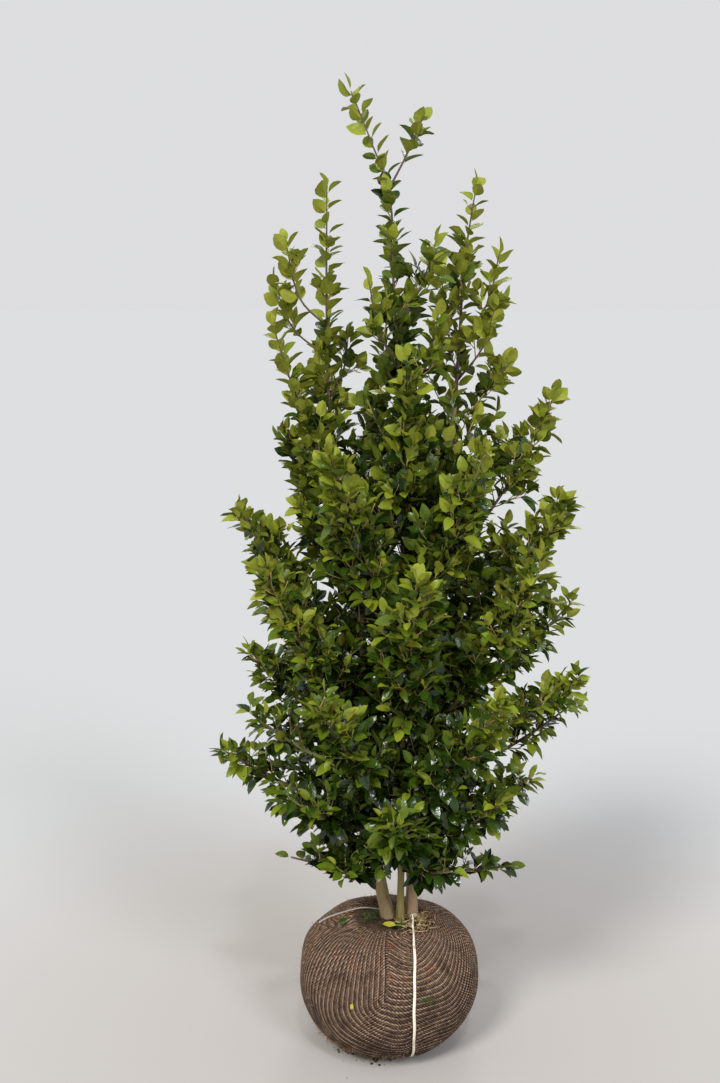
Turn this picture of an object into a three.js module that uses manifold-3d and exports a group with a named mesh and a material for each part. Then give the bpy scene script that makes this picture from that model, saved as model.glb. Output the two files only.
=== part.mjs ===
// A young holly tree as a nursery lifts it: three stems from one root ball in a knitted net,
// with side boughs and masses of leafy twigs. Millimetres, +Z up, X to the right, -Y the front.
// The origin is the middle of the root ball's flat underside.
import * as THREE from "three";
import { mergeVertices } from "three/addons/utils/BufferGeometryUtils.js";
import Module from "manifold-3d";

const wasm = await Module();
wasm.setup();

// Room left between two pieces that touch on the real plant.
const CLEAR = 0.3;

// The root ball is turned about Z, wider than high: below its belly and above it the profile is
// a superellipse of that height and exponent. It is flat where it stands, with a shallow dimple
// on top where the net is drawn in round the stems.
const BALL_RADIUS = 208;
const BELLY = 158;
const UNDER_BELLY = { height: 170, exponent: 2.5 };
const OVER_BELLY = { height: 139, exponent: 2.8 };
const BALL_COLUMNS = 24;
const BALL_ROWS = 12;
const BALL_LUMP = 3;
const LUMP_PAUSE = 0.5; // how far round from the tie the lumps fade
const DIMPLE_RADIUS = 76;
const DIMPLE_FLOOR = 289;
const NET_RIM_RADIUS = 92;
const NET_RIM_TOP = 295;
const RIM_START = 278; // the superellipse ends at this height, and the rim starts

// The flat tie that runs down the front of the ball and tucks in under it.
const TIE_WIDTH = 9;
const TIE_THICKNESS = 1.6;
const TIE_X = 50;
const TIE_ANGLE = Math.asin(TIE_X / BALL_RADIUS) - Math.PI / 2; // round the ball, from +X
const TIE_FOOT = 6;
const TIE_CLEAR = 0.4;

// Each stem: where its middle line passes (x, y, height), its radius at the foot and at the top.
const STEMS = {
  left: {
    line: [[-2, 0, 0], [-26, 10, 412], [-60, 26, 900], [-83, 32, 1270], [-118, 34, 1362]],
    foot: 15.5,
    top: 5,
  },
  middle: {
    line: [[26, -20, 0], [29, -36, 760], [27, -30, 1229], [26, -22, 1424]],
    foot: 8.5,
    top: 4.2,
  },
  right: {
    line: [[52, 5, 0], [57, 14, 436], [98, 28, 960], [142, 26, 1498]],
    foot: 13.8,
    top: 4.6,
  },
};
const STEM_SIDES = 8;
const STEM_RINGS = 9;
const STEM_TAPER = 0.8;
const FLARE = 3.2;
const FLARE_HEIGHT = 26;

// The crown's upright middle line, from which every reach below is measured.
const CROWN_X = 20;

// Side limbs that shape the outline. Each row: where it leaves its stem, its tip's bearing
// (degrees, 0 = right, 270 = front), reach and height, how much of it is bare bough, and the
// half width of its foliage.
const SIDE_LIMBS = {
  left: [
    [402, 187, 292, 469, 0, 56],
    [450, 172, 328, 612, 0, 54],
    [540, 181, 432, 727, 0.4, 50],
    [630, 190, 372, 843, 0.32, 56],
    [705, 173, 370, 959, 0.32, 62],
    [910, 184, 372, 1305, 0.32, 60],
    [1050, 171, 262, 1472, 0, 70],
    [1240, 182, 286, 1702, 0, 50],
  ],
  right: [
    [394, 352, 298, 446, 0, 50],
    [444, 8, 252, 558, 0, 54],
    [500, 355, 344, 681, 0.32, 52],
    [605, 4, 440, 836, 0.4, 52],
    [690, 350, 432, 902, 0.38, 54],
    [792, 6, 424, 1071, 0.34, 64],
    [880, 356, 376, 1302, 0.3, 72],
    [1120, 3, 356, 1550, 0.32, 66],
  ],
};

// Limbs that fill the front and the back, tier above tier. Each row: where they leave, their
// tips' reach and height, the bare share, the half width and the bearings off straight ahead.
const TIERS = [
  [406, 240, 500, 0, 76, [-38, 36]],
  [470, 325, 680, 0, 86, [-54, -4, 50]],
  [560, 372, 940, 0, 90, [-30, 34]],
  [740, 350, 1200, 0, 88, [-60, 4, 62]],
  [980, 285, 1455, 0, 84, [-34, 38]],
  [1190, 165, 1640, 0, 72, [3]],
];
const BACK_TURN = 9;
const BACK_LIFT = 8;
const STAGGER = 16; // no two limbs leave a stem at one height

// A limb's foot: thicker the longer it is, and never too thick for its stem.
const LIMB_THINNEST = 2.6;
const LENGTH_PER_RADIUS = 90;
const SHARE_OF_STEM = 0.62;
const LIMB_BEND = 0.55; // it has gone this share of the way out when it turns up
const LIMB_BEND_RISE = 0.3; // and this share of the way up

// The three leading shoots above the stems: their line, their side shoots (foot and tip) and
// the half width of their foliage.
const HEADS = {
  left: {
    line: [[-134, 36, 1466], [-140, 34, 1700], [-138, 28, 1960]],
    side: [
      [[-139, 34, 1655], [-196, 20, 1712], [-229, 12, 1846]],
      [[-138, 35, 1590], [-212, 46, 1648], [-259, 52, 1758]],
      [[-135, 36, 1490], [-104, 80, 1560], [-92, 96, 1650]],
    ],
    halfWidth: 54,
  },
  middle: {
    line: [[5, -16, 1712], [-6, -12, 1930], [-46, -14, 2040], [-93, -16, 2152]],
    side: [
      [[-7, -12, 1940], [30, -6, 2010], [66, -2, 2090]],
      [[10, -17, 1640], [60, -34, 1736], [94, -44, 1842]],
      [[15, -18, 1560], [-28, -52, 1650], [-50, -74, 1752]],
      [[22, -20, 1490], [74, -62, 1580], [98, -84, 1690]],
      [[18, -18, 1520], [34, 36, 1620], [44, 62, 1724]],
    ],
    halfWidth: 64,
  },
  right: {
    line: [[150, 24, 1650], [155, 20, 1776], [181, 14, 1964]],
    side: [
      [[149, 24, 1618], [205, 14, 1700], [232, 8, 1818]],
      [[147, 26, 1540], [196, -6, 1610], [222, -20, 1700]],
      [[150, 24, 1580], [120, 70, 1660], [112, 88, 1770]],
      [[145, 26, 1509], [196, 12, 1516], [264, 0, 1584]],
    ],
    halfWidth: 56,
  },
};

// Twigs and leaves.
const TWIG_TIP_RADIUS = 1.8;
const SHOOT_RADIUS = 2.4;
const TWIG_SIDES = 3;
const BOUGH_SIDES = 5;
const LEAF_WIDTH = 0.6;
const LEAF_THICKNESS = 0.03;
const LEAF_FOLD = 0.22;
const LEAF_DROOP = 0.1;
const LEAF_WIDEST = 0.4;
const HEAD_LEAF = 80;
const SHORTEST_LEAF = 50;
const LEAF_PER_HALF_WIDTH = 0.75;
const LONGEST_LEAF = 115;
const LEAF_GAP = 41;
const LEAF_ANGLE = 0.75;
const LEAF_ANGLE_SPREAD = 0.3;
const LEAF_LIFT = 0.12;
const TIP_LEAF_ANGLE = 0.12;
const TIP_SINK = 2.5; // how deep a leaf at the end of a shoot sits in it
const LEAF_TRIES = 6;
const SMALLER = 0.96; // a leaf that didn't fit is tried again a little smaller
const LIGHT_HEIGHT = 0.6; // how far up a blade faces, against how far out
const LIGHT_SPREAD = 2.2; // how far blades turn from facing straight out, in all
const ROOT_OUT = 0.2; // a leaf's root point, out from its twig's middle, as a share of the radius
const TIP_LEAF = 0.75; // share of a leaf that stands beyond the end of its shoot
const FIRST_LEAF = 0.2; // share of a twig without leaves where it leaves a stem
const FIRST_LEAF_ON_BOUGH = 0.02; // where it goes on from a bough
const FIRST_LEAF_ON_HEAD = 0.05;
const FIRST_LEAF_ON_SHOOT = 0.35;
const SHOOT_GAP = 56;
const SHOOT_ANGLE = 0.9;
const SHOOT_LIFT = 0.3;
const SHOOT_LONG = 0.95; // share of the half width a side shoot reaches at the twig's foot
const SHOOT_SHORTER = 0.55; // and how much of that is gone at its tip
const SHOOT_CLEAR_FROM = 0.15; // the stretch at its foot that may touch its own twig
const GOLDEN = THREE.MathUtils.degToRad(137.5);

// How near things may come: a share of the half width between the spaces of two masses, how
// far a leaf may reach as a share of it, and clearances from limbs, twigs and other leaves.
const SPACE_GAP = 0.05;
const FURTHEST = 1.5;
const LIMB_GAP = 6;
const TWIG_GAP = 16;
const LEAF_CLEAR = 11;
const LOWEST_LEAF = 372; // at the crown's middle, and higher to the front and the back
const SKIRT_RISE = 0.28;
const LINE_STEP = 22;
const TWIG_RING_GAP = 120;
const BOUGH_RINGS = 3;
const STEM_CLEAR = 0.33;
const SHORTEST_EDGE = 0.08;

// Foliage is darkest low down and palest in the leading shoots.
const HIGH_FOLIAGE = 1500;
const LOW_FOLIAGE = 800;

const COLOURS = {
  net: 0x5d4a3c,
  tie: 0xd8cfb8,
  bark: 0x7d6f60,
  youngBark: 0x5a4638,
  oldLeaf: 0x2f4d1c,
  leaf: 0x4b6a22,
  youngLeaf: 0x7f9430,
};

const UP = new THREE.Vector3(0, 0, 1);
const ACROSS = new THREE.Vector3(0, 1, 0);
const vector = (p) => new THREE.Vector3(...p);

// Random numbers from a seed, the same on every run.
function randomFrom(seed) {
  let state = seed * 2654435761 + 12345;
  return () => {
    state = (state + 0x6d2b79f5) | 0;
    let t = Math.imul(state ^ (state >>> 15), 1 | state);
    t = (t + Math.imul(t ^ (t >>> 7), 61 | t)) ^ t;
    return ((t ^ (t >>> 14)) >>> 0) / 4294967296;
  };
}

// A closed geometry as a solid that can be joined and cut, and back again.
function solidOf(geometry) {
  geometry.deleteAttribute("normal");
  geometry.deleteAttribute("uv");
  const merged = mergeVertices(geometry);
  return new wasm.Manifold(
    new wasm.Mesh({
      numProp: 3,
      vertProperties: merged.attributes.position.array,
      triVerts: new Uint32Array(merged.index.array),
    }),
  );
}

function geometryOf(solid) {
  const mesh = solid.getMesh();
  return new THREE.BufferGeometry()
    .setAttribute("position", new THREE.BufferAttribute(mesh.vertProperties, 3))
    .setIndex(new THREE.BufferAttribute(mesh.triVerts, 1));
}

// Draws in each edge too short to keep, wherever the surface stays closed without it.
function withoutShortEdges(solid) {
  const { vertProperties, triVerts } = solid.getMesh();
  const point = (i) => new THREE.Vector3().fromArray(vertProperties, 3 * i);
  const count = triVerts.length / 3;
  let faces = Array.from({ length: count }, (_, i) => [...triVerts.subarray(3 * i, 3 * i + 3)]);
  const round = (v) => new Set(faces.filter((face) => face.includes(v)).flat());
  const joinable = ([a, b]) =>
    point(a).distanceTo(point(b)) < SHORTEST_EDGE && round(a).intersection(round(b)).size === 4;
  for (;;) {
    const edges = faces.flatMap(([a, b, c]) => [[a, b], [b, c], [c, a]]);
    const edge = edges.find(joinable);
    if (!edge) break;
    const moved = faces.map((face) => face.map((v) => (v === edge[0] ? edge[1] : v)));
    faces = moved.filter((face) => new Set(face).size === 3);
  }
  const kept = new Uint32Array(faces.flat());
  return new wasm.Manifold(new wasm.Mesh({ numProp: 3, vertProperties, triVerts: kept }));
}

// The one body of a joined solid: loose scraps go, and so do sealed hollows.
function largestBody(solid) {
  const bodies = solid.decompose();
  return bodies.reduce((a, b) => (b.volume() > a.volume() ? b : a));
}

function moveVertices(geometry, place) {
  const position = geometry.attributes.position;
  const p = new THREE.Vector3();
  for (let i = 0; i < position.count; i++) {
    place(p.fromBufferAttribute(position, i));
    position.setXYZ(i, p.x, p.y, p.z);
  }
  return geometry;
}

// A tapering limb: a cylinder of few sides carried along a curve. An upright one keeps its
// rings level, so its cuts are level too.
function limb(curve, from, to, radiusAt, sides, rings, upright) {
  const middle = curve.getTangentAt((from + to) / 2);
  const reference = Math.abs(middle.z) > 0.9 ? ACROSS : UP;
  return moveVertices(new THREE.CylinderGeometry(1, 1, 1, sides, rings), (p) => {
    const share = p.y + 0.5;
    const t = from + (to - from) * share;
    const along = upright ? UP : curve.getTangentAt(t);
    const side = upright ? new THREE.Vector3(1, 0, 0) : along.clone().cross(reference).normalize();
    const out = side.clone().cross(along);
    const radius = radiusAt(share);
    const { x, z } = p;
    p.copy(curve.getPointAt(t)).addScaledVector(side, x * radius).addScaledVector(out, z * radius);
  });
}

// A leaf of eight faces: pointed at both ends, folded up a little along its midrib.
function leafGeometry({ root, along, across, length }) {
  const face = along.clone().cross(across);
  const halfWidth = (length * LEAF_WIDTH) / 2;
  return moveVertices(new THREE.OctahedronGeometry(1, 0), (p) => {
    const { x, y, z } = p;
    const run = x > 0.5 ? length : x < -0.5 ? 0 : length * LEAF_WIDEST;
    const lift =
      Math.abs(y) * halfWidth * LEAF_FOLD +
      (z * length * LEAF_THICKNESS) / 2 -
      (x > 0.5 ? length * LEAF_DROOP : 0);
    p.copy(root).addScaledVector(along, run).addScaledVector(across, y * halfWidth);
    p.addScaledVector(face, lift);
  });
}

// Points spread over a leaf's outer part, to test what it would touch.
function leafPoints({ root, along, across, length }) {
  const halfWidth = (length * LEAF_WIDTH) / 2;
  const rows = [[0.2, 0.5], [0.4, 1], [0.55, 0.75], [0.7, 0.5], [0.85, 0.25], [1, 0]];
  return rows.flatMap(([run, share]) =>
    [-share, -share / 2, 0, share / 2, share].map((side) =>
      root.clone().addScaledVector(along, run * length).addScaledVector(across, side * halfWidth),
    ),
  );
}

// Evenly spaced points on a stretch of a curve.
function polyline(curve, from, to) {
  const steps = Math.max(3, Math.ceil((curve.getLength() * (to - from)) / LINE_STEP));
  const share = (i) => from + ((to - from) * i) / steps;
  return Array.from({ length: steps + 1 }, (_, i) => curve.getPointAt(share(i)));
}

const segment = new THREE.Line3();
const nearest = new THREE.Vector3();
function distanceToLine(p, line) {
  let least = Infinity;
  for (let i = 1; i < line.length; i++) {
    segment.set(line[i - 1], line[i]).closestPointToPoint(p, true, nearest);
    least = Math.min(least, nearest.distanceTo(p));
  }
  return least;
}

// The root ball.
function ballProfile() {
  const radiusAt = (z) => {
    const { height, exponent } = z < BELLY ? UNDER_BELLY : OVER_BELLY;
    return BALL_RADIUS * (1 - Math.abs((z - BELLY) / height) ** exponent) ** (1 / exponent);
  };
  const heightAt = (angle) =>
    BELLY + (angle < 0 ? UNDER_BELLY : OVER_BELLY).height * Math.sin(angle);
  const footAngle = -Math.asin(BELLY / UNDER_BELLY.height);
  const rimAngle = Math.asin((RIM_START - BELLY) / OVER_BELLY.height);
  const points = [new THREE.Vector2(0, 0), new THREE.Vector2(radiusAt(0), 0)];
  for (let i = 1; i <= BALL_ROWS; i++) {
    const z = heightAt(THREE.MathUtils.lerp(footAngle, rimAngle, i / BALL_ROWS));
    points.push(new THREE.Vector2(radiusAt(z), z));
  }
  points.push(new THREE.Vector2(NET_RIM_RADIUS, NET_RIM_TOP));
  points.push(new THREE.Vector2(DIMPLE_RADIUS, DIMPLE_FLOOR));
  points.push(new THREE.Vector2(0, DIMPLE_FLOOR));
  return points;
}

// Low broad lumps in the soil, none at the foot, the dimple or the tie.
function lump(p) {
  const angle = Math.atan2(p.y, p.x);
  const radius = Math.hypot(p.x, p.y);
  const belly = Math.sin((Math.PI * p.z) / NET_RIM_TOP) ** 2;
  const awayFromTie = 1 - Math.exp(-(((angle - TIE_ANGLE) / LUMP_PAUSE) ** 2));
  const wave = Math.sin(3 * angle + 0.02 * p.z) + 0.6 * Math.sin(5 * angle + 1.3 - 0.03 * p.z);
  const grown = radius > 1 ? 1 + (BALL_LUMP * wave * belly * awayFromTie) / radius : 1;
  p.x *= grown;
  p.y *= grown;
}

function ballSolid(outset = 0) {
  const profile = ballProfile();
  const middle = DIMPLE_FLOOR / 2;
  const grown = profile.map((p) => {
    const scale = 1 + outset / Math.max(Math.hypot(p.x, p.y - middle), 1);
    return new THREE.Vector2(p.x * scale, middle + (p.y - middle) * scale);
  });
  const lathe = new THREE.LatheGeometry(grown, BALL_COLUMNS).rotateX(Math.PI / 2);
  return solidOf(moveVertices(lathe, lump)).simplify(SHORTEST_EDGE);
}

// The tie: a flat band that follows the ball's front from the dimple's edge to its foot.
function tieSolid() {
  const top = NET_RIM_TOP + TIE_FOOT;
  const slab = new THREE.BoxGeometry(TIE_WIDTH, BALL_RADIUS, top - TIE_FOOT);
  slab.translate(TIE_X, -BALL_RADIUS / 2 - NET_RIM_RADIUS, (top + TIE_FOOT) / 2);
  const shell = ballSolid(TIE_CLEAR + TIE_THICKNESS).subtract(ballSolid(TIE_CLEAR));
  return largestBody(shell.intersect(solidOf(slab)));
}

// The stems, from a flat cut on the ball to where their leading shoots begin.
const FOOT = DIMPLE_FLOOR + CLEAR;
const stems = Object.entries(STEMS).map(([name, { line, foot, top }]) => {
  const points = line.map(vector);
  points[0].z = FOOT;
  const curve = new THREE.CatmullRomCurve3(points, false, "centripetal");
  const length = curve.getLength();
  const radiusAt = (share) =>
    foot + (top - foot) * share ** STEM_TAPER + FLARE * Math.exp((-share * length) / FLARE_HEIGHT);
  return { name, curve, radiusAt, line: polyline(curve, 0, 1), top: points.at(-1) };
});

function stemSolid(stem, outset = 0) {
  const radius = (share) => stem.radiusAt(share) + outset;
  return solidOf(limb(stem.curve, 0, 1, radius, STEM_SIDES, STEM_RINGS, true));
}

// Where a stem's middle line stands at a height, as a share of its length.
function shareAtHeight(stem, height) {
  let low = 0;
  let high = 1;
  for (let i = 0; i < 30; i++) {
    const share = (low + high) / 2;
    if (stem.curve.getPointAt(share).z < height) low = share;
    else high = share;
  }
  return low;
}

// A limb springs from the stem that stands nearest its side of the crown.
function stemFacing(bearing, height) {
  const side = (stem) => {
    const p = stem.curve.getPointAt(shareAtHeight(stem, height));
    return p.x * Math.cos(bearing) + p.y * Math.sin(bearing);
  };
  const tall = stems.filter((stem) => stem.top.z > height + 20);
  return tall.reduce((a, b) => (side(b) > side(a) ? b : a));
}

// It leaves low and turns up towards its tip.
function limbCurve(start, tip) {
  const bend = start.clone().lerp(tip, LIMB_BEND);
  bend.z = THREE.MathUtils.lerp(start.z, tip.z, LIMB_BEND_RISE);
  return new THREE.QuadraticBezierCurve3(start, bend, tip);
}

const masses = [];
const boughs = [];

function addLimb(name, [height, bearingDegrees, reach, tipHeight, bare, halfWidth]) {
  const bearing = THREE.MathUtils.degToRad(bearingDegrees);
  const stem = stemFacing(bearing, height);
  const share = shareAtHeight(stem, height);
  const tip = new THREE.Vector3(
    CROWN_X + reach * Math.cos(bearing),
    reach * Math.sin(bearing),
    tipHeight,
  );
  const curve = limbCurve(stem.curve.getPointAt(share), tip);
  const length = curve.getLength();
  const leaf = Math.min(LONGEST_LEAF, SHORTEST_LEAF + halfWidth * LEAF_PER_HALF_WIDTH);
  const thick = LIMB_THINNEST + length / LENGTH_PER_RADIUS;
  const base = Math.min(thick, stem.radiusAt(share) * SHARE_OF_STEM);
  const radiusAt = (t) => base + (TWIG_TIP_RADIUS - base) * t;
  if (bare > 0) boughs.push({ name, stem, curve, bare, radiusAt, line: polyline(curve, 0, bare) });
  masses.push({
    name: "mass_" + name,
    stem: bare > 0 ? null : stem,
    curve,
    from: bare > 0 ? bare + CLEAR / length : 0,
    to: 1 - (TIP_LEAF * leaf) / length,
    radiusAt,
    halfWidth,
    sides: [],
    leaf,
    firstLeaf: bare > 0 ? bare + FIRST_LEAF_ON_BOUGH : FIRST_LEAF,
    seed: masses.length + 1,
  });
}

function addHead(stem, { line, side, halfWidth }) {
  const start = stem.top.clone();
  start.z += CLEAR;
  const curve = new THREE.CatmullRomCurve3([start, ...line.map(vector)], false, "centripetal");
  const base = stem.radiusAt(1);
  masses.push({
    name: "head_" + stem.name,
    stem: null,
    curve,
    from: 0,
    to: 1 - (TIP_LEAF * HEAD_LEAF) / curve.getLength(),
    radiusAt: (t) => base + (TWIG_TIP_RADIUS - base) * t,
    halfWidth,
    upright: true,
    sides: side.map((points) => new THREE.CatmullRomCurve3(points.map(vector))),
    leaf: HEAD_LEAF,
    firstLeaf: FIRST_LEAF_ON_HEAD,
    seed: masses.length + 1,
  });
}

for (const stem of stems) addHead(stem, HEADS[stem.name]);
for (const [side, rows] of Object.entries(SIDE_LIMBS)) {
  rows.forEach((row, i) => addLimb(side + "_" + (i + 1), row));
}
for (const [side, straight, lift] of [["front", 270, 0], ["back", 90 + BACK_TURN, BACK_LIFT]]) {
  let number = 0;
  for (const [foot, reach, height, bare, halfWidth, offsets] of TIERS) {
    for (const offset of offsets) {
      const leaves = foot + lift + STAGGER * (number % 3);
      number += 1;
      addLimb(side + "_" + number, [leaves, straight + offset, reach, height, bare, halfWidth]);
    }
  }
}

// What a twig or leaf must keep clear of: every stem and bough, and the space of other masses.
for (const mass of masses) {
  const sides = mass.sides.map((side) => polyline(side, 0, 1));
  mass.lines = [polyline(mass.curve, mass.from, 1), ...sides];
}

function reachOf(mass, p) {
  return Math.min(...mass.lines.map((line) => distanceToLine(p, line))) / mass.halfWidth;
}

function ownSpace(mass, p) {
  const own = reachOf(mass, p);
  if (own > FURTHEST || p.z < LOWEST_LEAF + SKIRT_RISE * Math.abs(p.y)) return false;
  return masses.every((other) => other === mass || reachOf(other, p) > own + SPACE_GAP);
}

function clearOfLimbs(p) {
  return (
    stems.every((stem) => distanceToLine(p, stem.line) > stem.radiusAt(0.4) + LIMB_GAP) &&
    boughs.every((bough) => distanceToLine(p, bough.line) > bough.radiusAt(0) + LIMB_GAP)
  );
}

const fits = (mass, points) => points.every((p) => ownSpace(mass, p) && clearOfLimbs(p));
const apart = (points, others, gap) =>
  points.every((p) => others.every((q) => p.distanceToSquared(q) > gap * gap));

// A direction that leaves a shoot at an angle, turned about it.
function leaving(along, turn, angle) {
  const reference = Math.abs(along.z) > 0.9 ? ACROSS : UP;
  const side = along.clone().cross(reference).normalize();
  const radial = side.applyAxisAngle(along, turn);
  return along.clone().multiplyScalar(Math.cos(angle)).addScaledVector(radial, Math.sin(angle));
}

// The places of leaves along a shoot, from its tip down, each turned on by the golden angle.
function leafPlaces({ curve, from, to }, random) {
  const length = curve.getLength();
  const count = Math.max(1, Math.round((length * (to - from)) / LEAF_GAP));
  const phase = random() * 2 * Math.PI;
  return Array.from({ length: count + 1 }, (_, i) => ({
    t: i === 0 ? to - TIP_SINK / length : to - ((to - from) * (i - 0.3 * random())) / count,
    turn: phase + i * GOLDEN,
    angle: i === 0 ? TIP_LEAF_ANGLE : LEAF_ANGLE + LEAF_ANGLE_SPREAD * random(),
    size: 0.9 + 0.2 * random(),
    roll: (random() - 0.5) * LIGHT_SPREAD,
  }));
}

// A leaf there: its root sunk in the twig, its blade turned up and out to the light.
function leafAt({ curve, radiusAt }, { t, turn, angle, size, roll }, mass) {
  const root = curve.getPointAt(t);
  const along = leaving(curve.getTangentAt(t), turn, angle);
  along.z += LEAF_LIFT;
  along.normalize();
  const light = new THREE.Vector3(root.x - CROWN_X, root.y, 0).normalize();
  light.addScaledVector(UP, LIGHT_HEIGHT).applyAxisAngle(UP, roll);
  const across = light.cross(along).normalize();
  root.addScaledVector(along, ROOT_OUT * radiusAt(t));
  return { root, along, across, length: mass.leaf * size };
}

// The rule of growth: a main twig, side shoots turned by the golden angle that leave it at
// about 50 degrees and bend up, shorter towards its tip, and leaves along all of them.
function grow(mass) {
  const random = randomFrom(mass.seed);
  const { curve, from, to, radiusAt, halfWidth, leaf } = mass;
  const shoots = [{ curve, from: mass.firstLeaf, to, radiusAt, start: from }];
  const shootRadius = (t) => SHOOT_RADIUS + (TWIG_TIP_RADIUS - SHOOT_RADIUS) * t;
  const wanted = mass.sides.map((side) => {
    return { curve: side, to: 1 - (TIP_LEAF * leaf) / side.getLength() };
  });

  const leafy = to - mass.firstLeaf;
  const count = Math.floor((curve.getLength() * leafy) / SHOOT_GAP);
  const phase = random() * 2 * Math.PI;
  for (let i = 0; i < count; i++) {
    const run = (i + 0.4) / count;
    const t = mass.firstLeaf + leafy * run;
    const foot = curve.getPointAt(t);
    const out = leaving(curve.getTangentAt(t), phase + i * GOLDEN, SHOOT_ANGLE);
    const reach = halfWidth * (SHOOT_LONG - SHOOT_SHORTER * run) * (0.8 + 0.3 * random());
    const tip = foot.clone().addScaledVector(out, reach);
    tip.z += reach * SHOOT_LIFT;
    wanted.push({ curve: limbCurve(foot, tip), to: 1 });
  }

  const woody = polyline(curve, from, to);
  const solids = [];
  for (const shoot of wanted) {
    const line = polyline(shoot.curve, SHOOT_CLEAR_FROM, shoot.to);
    const outer = line.slice(1);
    if (!fits(mass, outer) || !apart(outer, woody, TWIG_GAP)) continue;
    shoots.push({ ...shoot, from: FIRST_LEAF_ON_SHOOT, start: 0, radiusAt: shootRadius });
    woody.push(...line);
  }
  for (const shoot of shoots) {
    const length = shoot.curve.getLength() * (shoot.to - shoot.start);
    const rings = Math.max(1, Math.round(length / TWIG_RING_GAP));
    const radius = (share) => shoot.radiusAt(shoot.start + share * (shoot.to - shoot.start));
    const level = mass.upright && shoot.curve === curve;
    solids.push(solidOf(limb(shoot.curve, shoot.start, shoot.to, radius, TWIG_SIDES, rings, level)));
  }

  const taken = [];
  const addLeaf = (shoot, place) => {
    const blade = leafAt(shoot, place, mass);
    const points = leafPoints(blade);
    const clear = apart(points, taken, LEAF_CLEAR) && apart(points.slice(5), woody, LEAF_CLEAR);
    if (!clear || !fits(mass, points)) return false;
    taken.push(...points);
    solids.push(solidOf(leafGeometry(blade)));
    return true;
  };
  for (const shoot of shoots) {
    for (const place of leafPlaces(shoot, random)) {
      for (let turned = 0; turned < LEAF_TRIES && !addLeaf(shoot, place); turned++) {
        place.turn += (2 * Math.PI) / LEAF_TRIES;
        place.size *= SMALLER;
      }
    }
  }
  let whole = wasm.Manifold.union(solids);
  if (mass.stem) whole = whole.subtract(stemSolid(mass.stem, STEM_CLEAR));
  return withoutShortEdges(largestBody(whole.simplify(SHORTEST_EDGE)));
}

function boughSolid({ stem, curve, bare, radiusAt }) {
  const radius = (share) => radiusAt(share * bare);
  const whole = solidOf(limb(curve, 0, bare, radius, BOUGH_SIDES, BOUGH_RINGS));
  return withoutShortEdges(largestBody(whole.subtract(stemSolid(stem, STEM_CLEAR))));
}

// The finished tree.
const tree = new THREE.Group();

function material(colour, roughness) {
  return new THREE.MeshStandardMaterial({ color: colour, roughness, metalness: 0, flatShading: true });
}
const net = material(COLOURS.net, 0.95);
const tie = material(COLOURS.tie, 0.7);
const bark = material(COLOURS.bark, 0.85);
const youngBark = material(COLOURS.youngBark, 0.7);
const foliage = {
  low: material(COLOURS.oldLeaf, 0.4),
  middle: material(COLOURS.leaf, 0.45),
  high: material(COLOURS.youngLeaf, 0.5),
};

function addPiece(name, solid, finish) {
  const mesh = new THREE.Mesh(geometryOf(solid), finish);
  mesh.name = name;
  tree.add(mesh);
}

addPiece("root_ball", ballSolid(), net);
addPiece("tie_strap", tieSolid(), tie);
for (const stem of stems) addPiece("stem_" + stem.name, stemSolid(stem), bark);
for (const bough of boughs) addPiece("bough_" + bough.name, boughSolid(bough), youngBark);
for (const mass of masses) {
  const height = mass.curve.getPointAt(1).z;
  const band = height > HIGH_FOLIAGE ? "high" : height > LOW_FOLIAGE ? "middle" : "low";
  addPiece(mass.name, grow(mass), foliage[band]);
}

export default tree;
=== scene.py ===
"""A young holly tree on its root ball: three stems, boughs, twigs and leaves, and a jute net.

Lengths are in millimetres until a mesh is made, then metres. +Z is up, -Y the front.
"""

import math

import bpy
import numpy as np
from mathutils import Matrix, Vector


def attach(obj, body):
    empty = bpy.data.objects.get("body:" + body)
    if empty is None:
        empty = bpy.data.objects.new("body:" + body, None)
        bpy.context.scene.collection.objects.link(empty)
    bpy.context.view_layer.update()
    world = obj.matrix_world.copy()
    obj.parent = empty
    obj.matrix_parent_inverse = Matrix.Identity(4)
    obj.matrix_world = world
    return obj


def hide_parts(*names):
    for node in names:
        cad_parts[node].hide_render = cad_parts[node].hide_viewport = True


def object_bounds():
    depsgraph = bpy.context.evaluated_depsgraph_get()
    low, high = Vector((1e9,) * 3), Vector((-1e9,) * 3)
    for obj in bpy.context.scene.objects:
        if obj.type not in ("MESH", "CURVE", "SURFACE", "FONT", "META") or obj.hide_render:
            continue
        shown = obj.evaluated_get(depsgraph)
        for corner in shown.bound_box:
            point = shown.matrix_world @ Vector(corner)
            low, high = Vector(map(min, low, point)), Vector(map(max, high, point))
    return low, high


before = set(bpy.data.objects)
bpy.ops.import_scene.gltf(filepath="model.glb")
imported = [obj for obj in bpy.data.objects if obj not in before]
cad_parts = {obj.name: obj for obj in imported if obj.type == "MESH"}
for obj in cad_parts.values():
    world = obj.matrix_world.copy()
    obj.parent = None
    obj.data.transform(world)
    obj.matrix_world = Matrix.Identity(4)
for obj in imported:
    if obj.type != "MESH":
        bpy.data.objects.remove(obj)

CAD_BOX = [list(corner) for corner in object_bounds()]
MM = 0.001
UP = np.array([0.0, 0.0, 1.0])
GOLDEN = math.radians(137.5)
ROUND = 6.28  # about a full turn, for random turns and phases

# ---------------------------------------------------------------- the tree's named sizes

BALL_RADIUS = 208.0
BELLY = 158.0  # the height at which the ball is widest
UNDER_BELLY = (170.0, 2.5)  # a superellipse's height and exponent
OVER_BELLY = (139.0, 2.8)
BALL_LUMP = 3.0
LUMP_PAUSE = 0.5  # how far round from the tie the lumps begin, in radians
DIMPLE_FLOOR = 289.0
NET_RIM_RADIUS = 92.0
NET_RIM_TOP = 295.0
RIM_START = 278.0
TIE_X = 50.0
TIE_ANGLE = math.asin(TIE_X / BALL_RADIUS) - math.pi / 2

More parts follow.
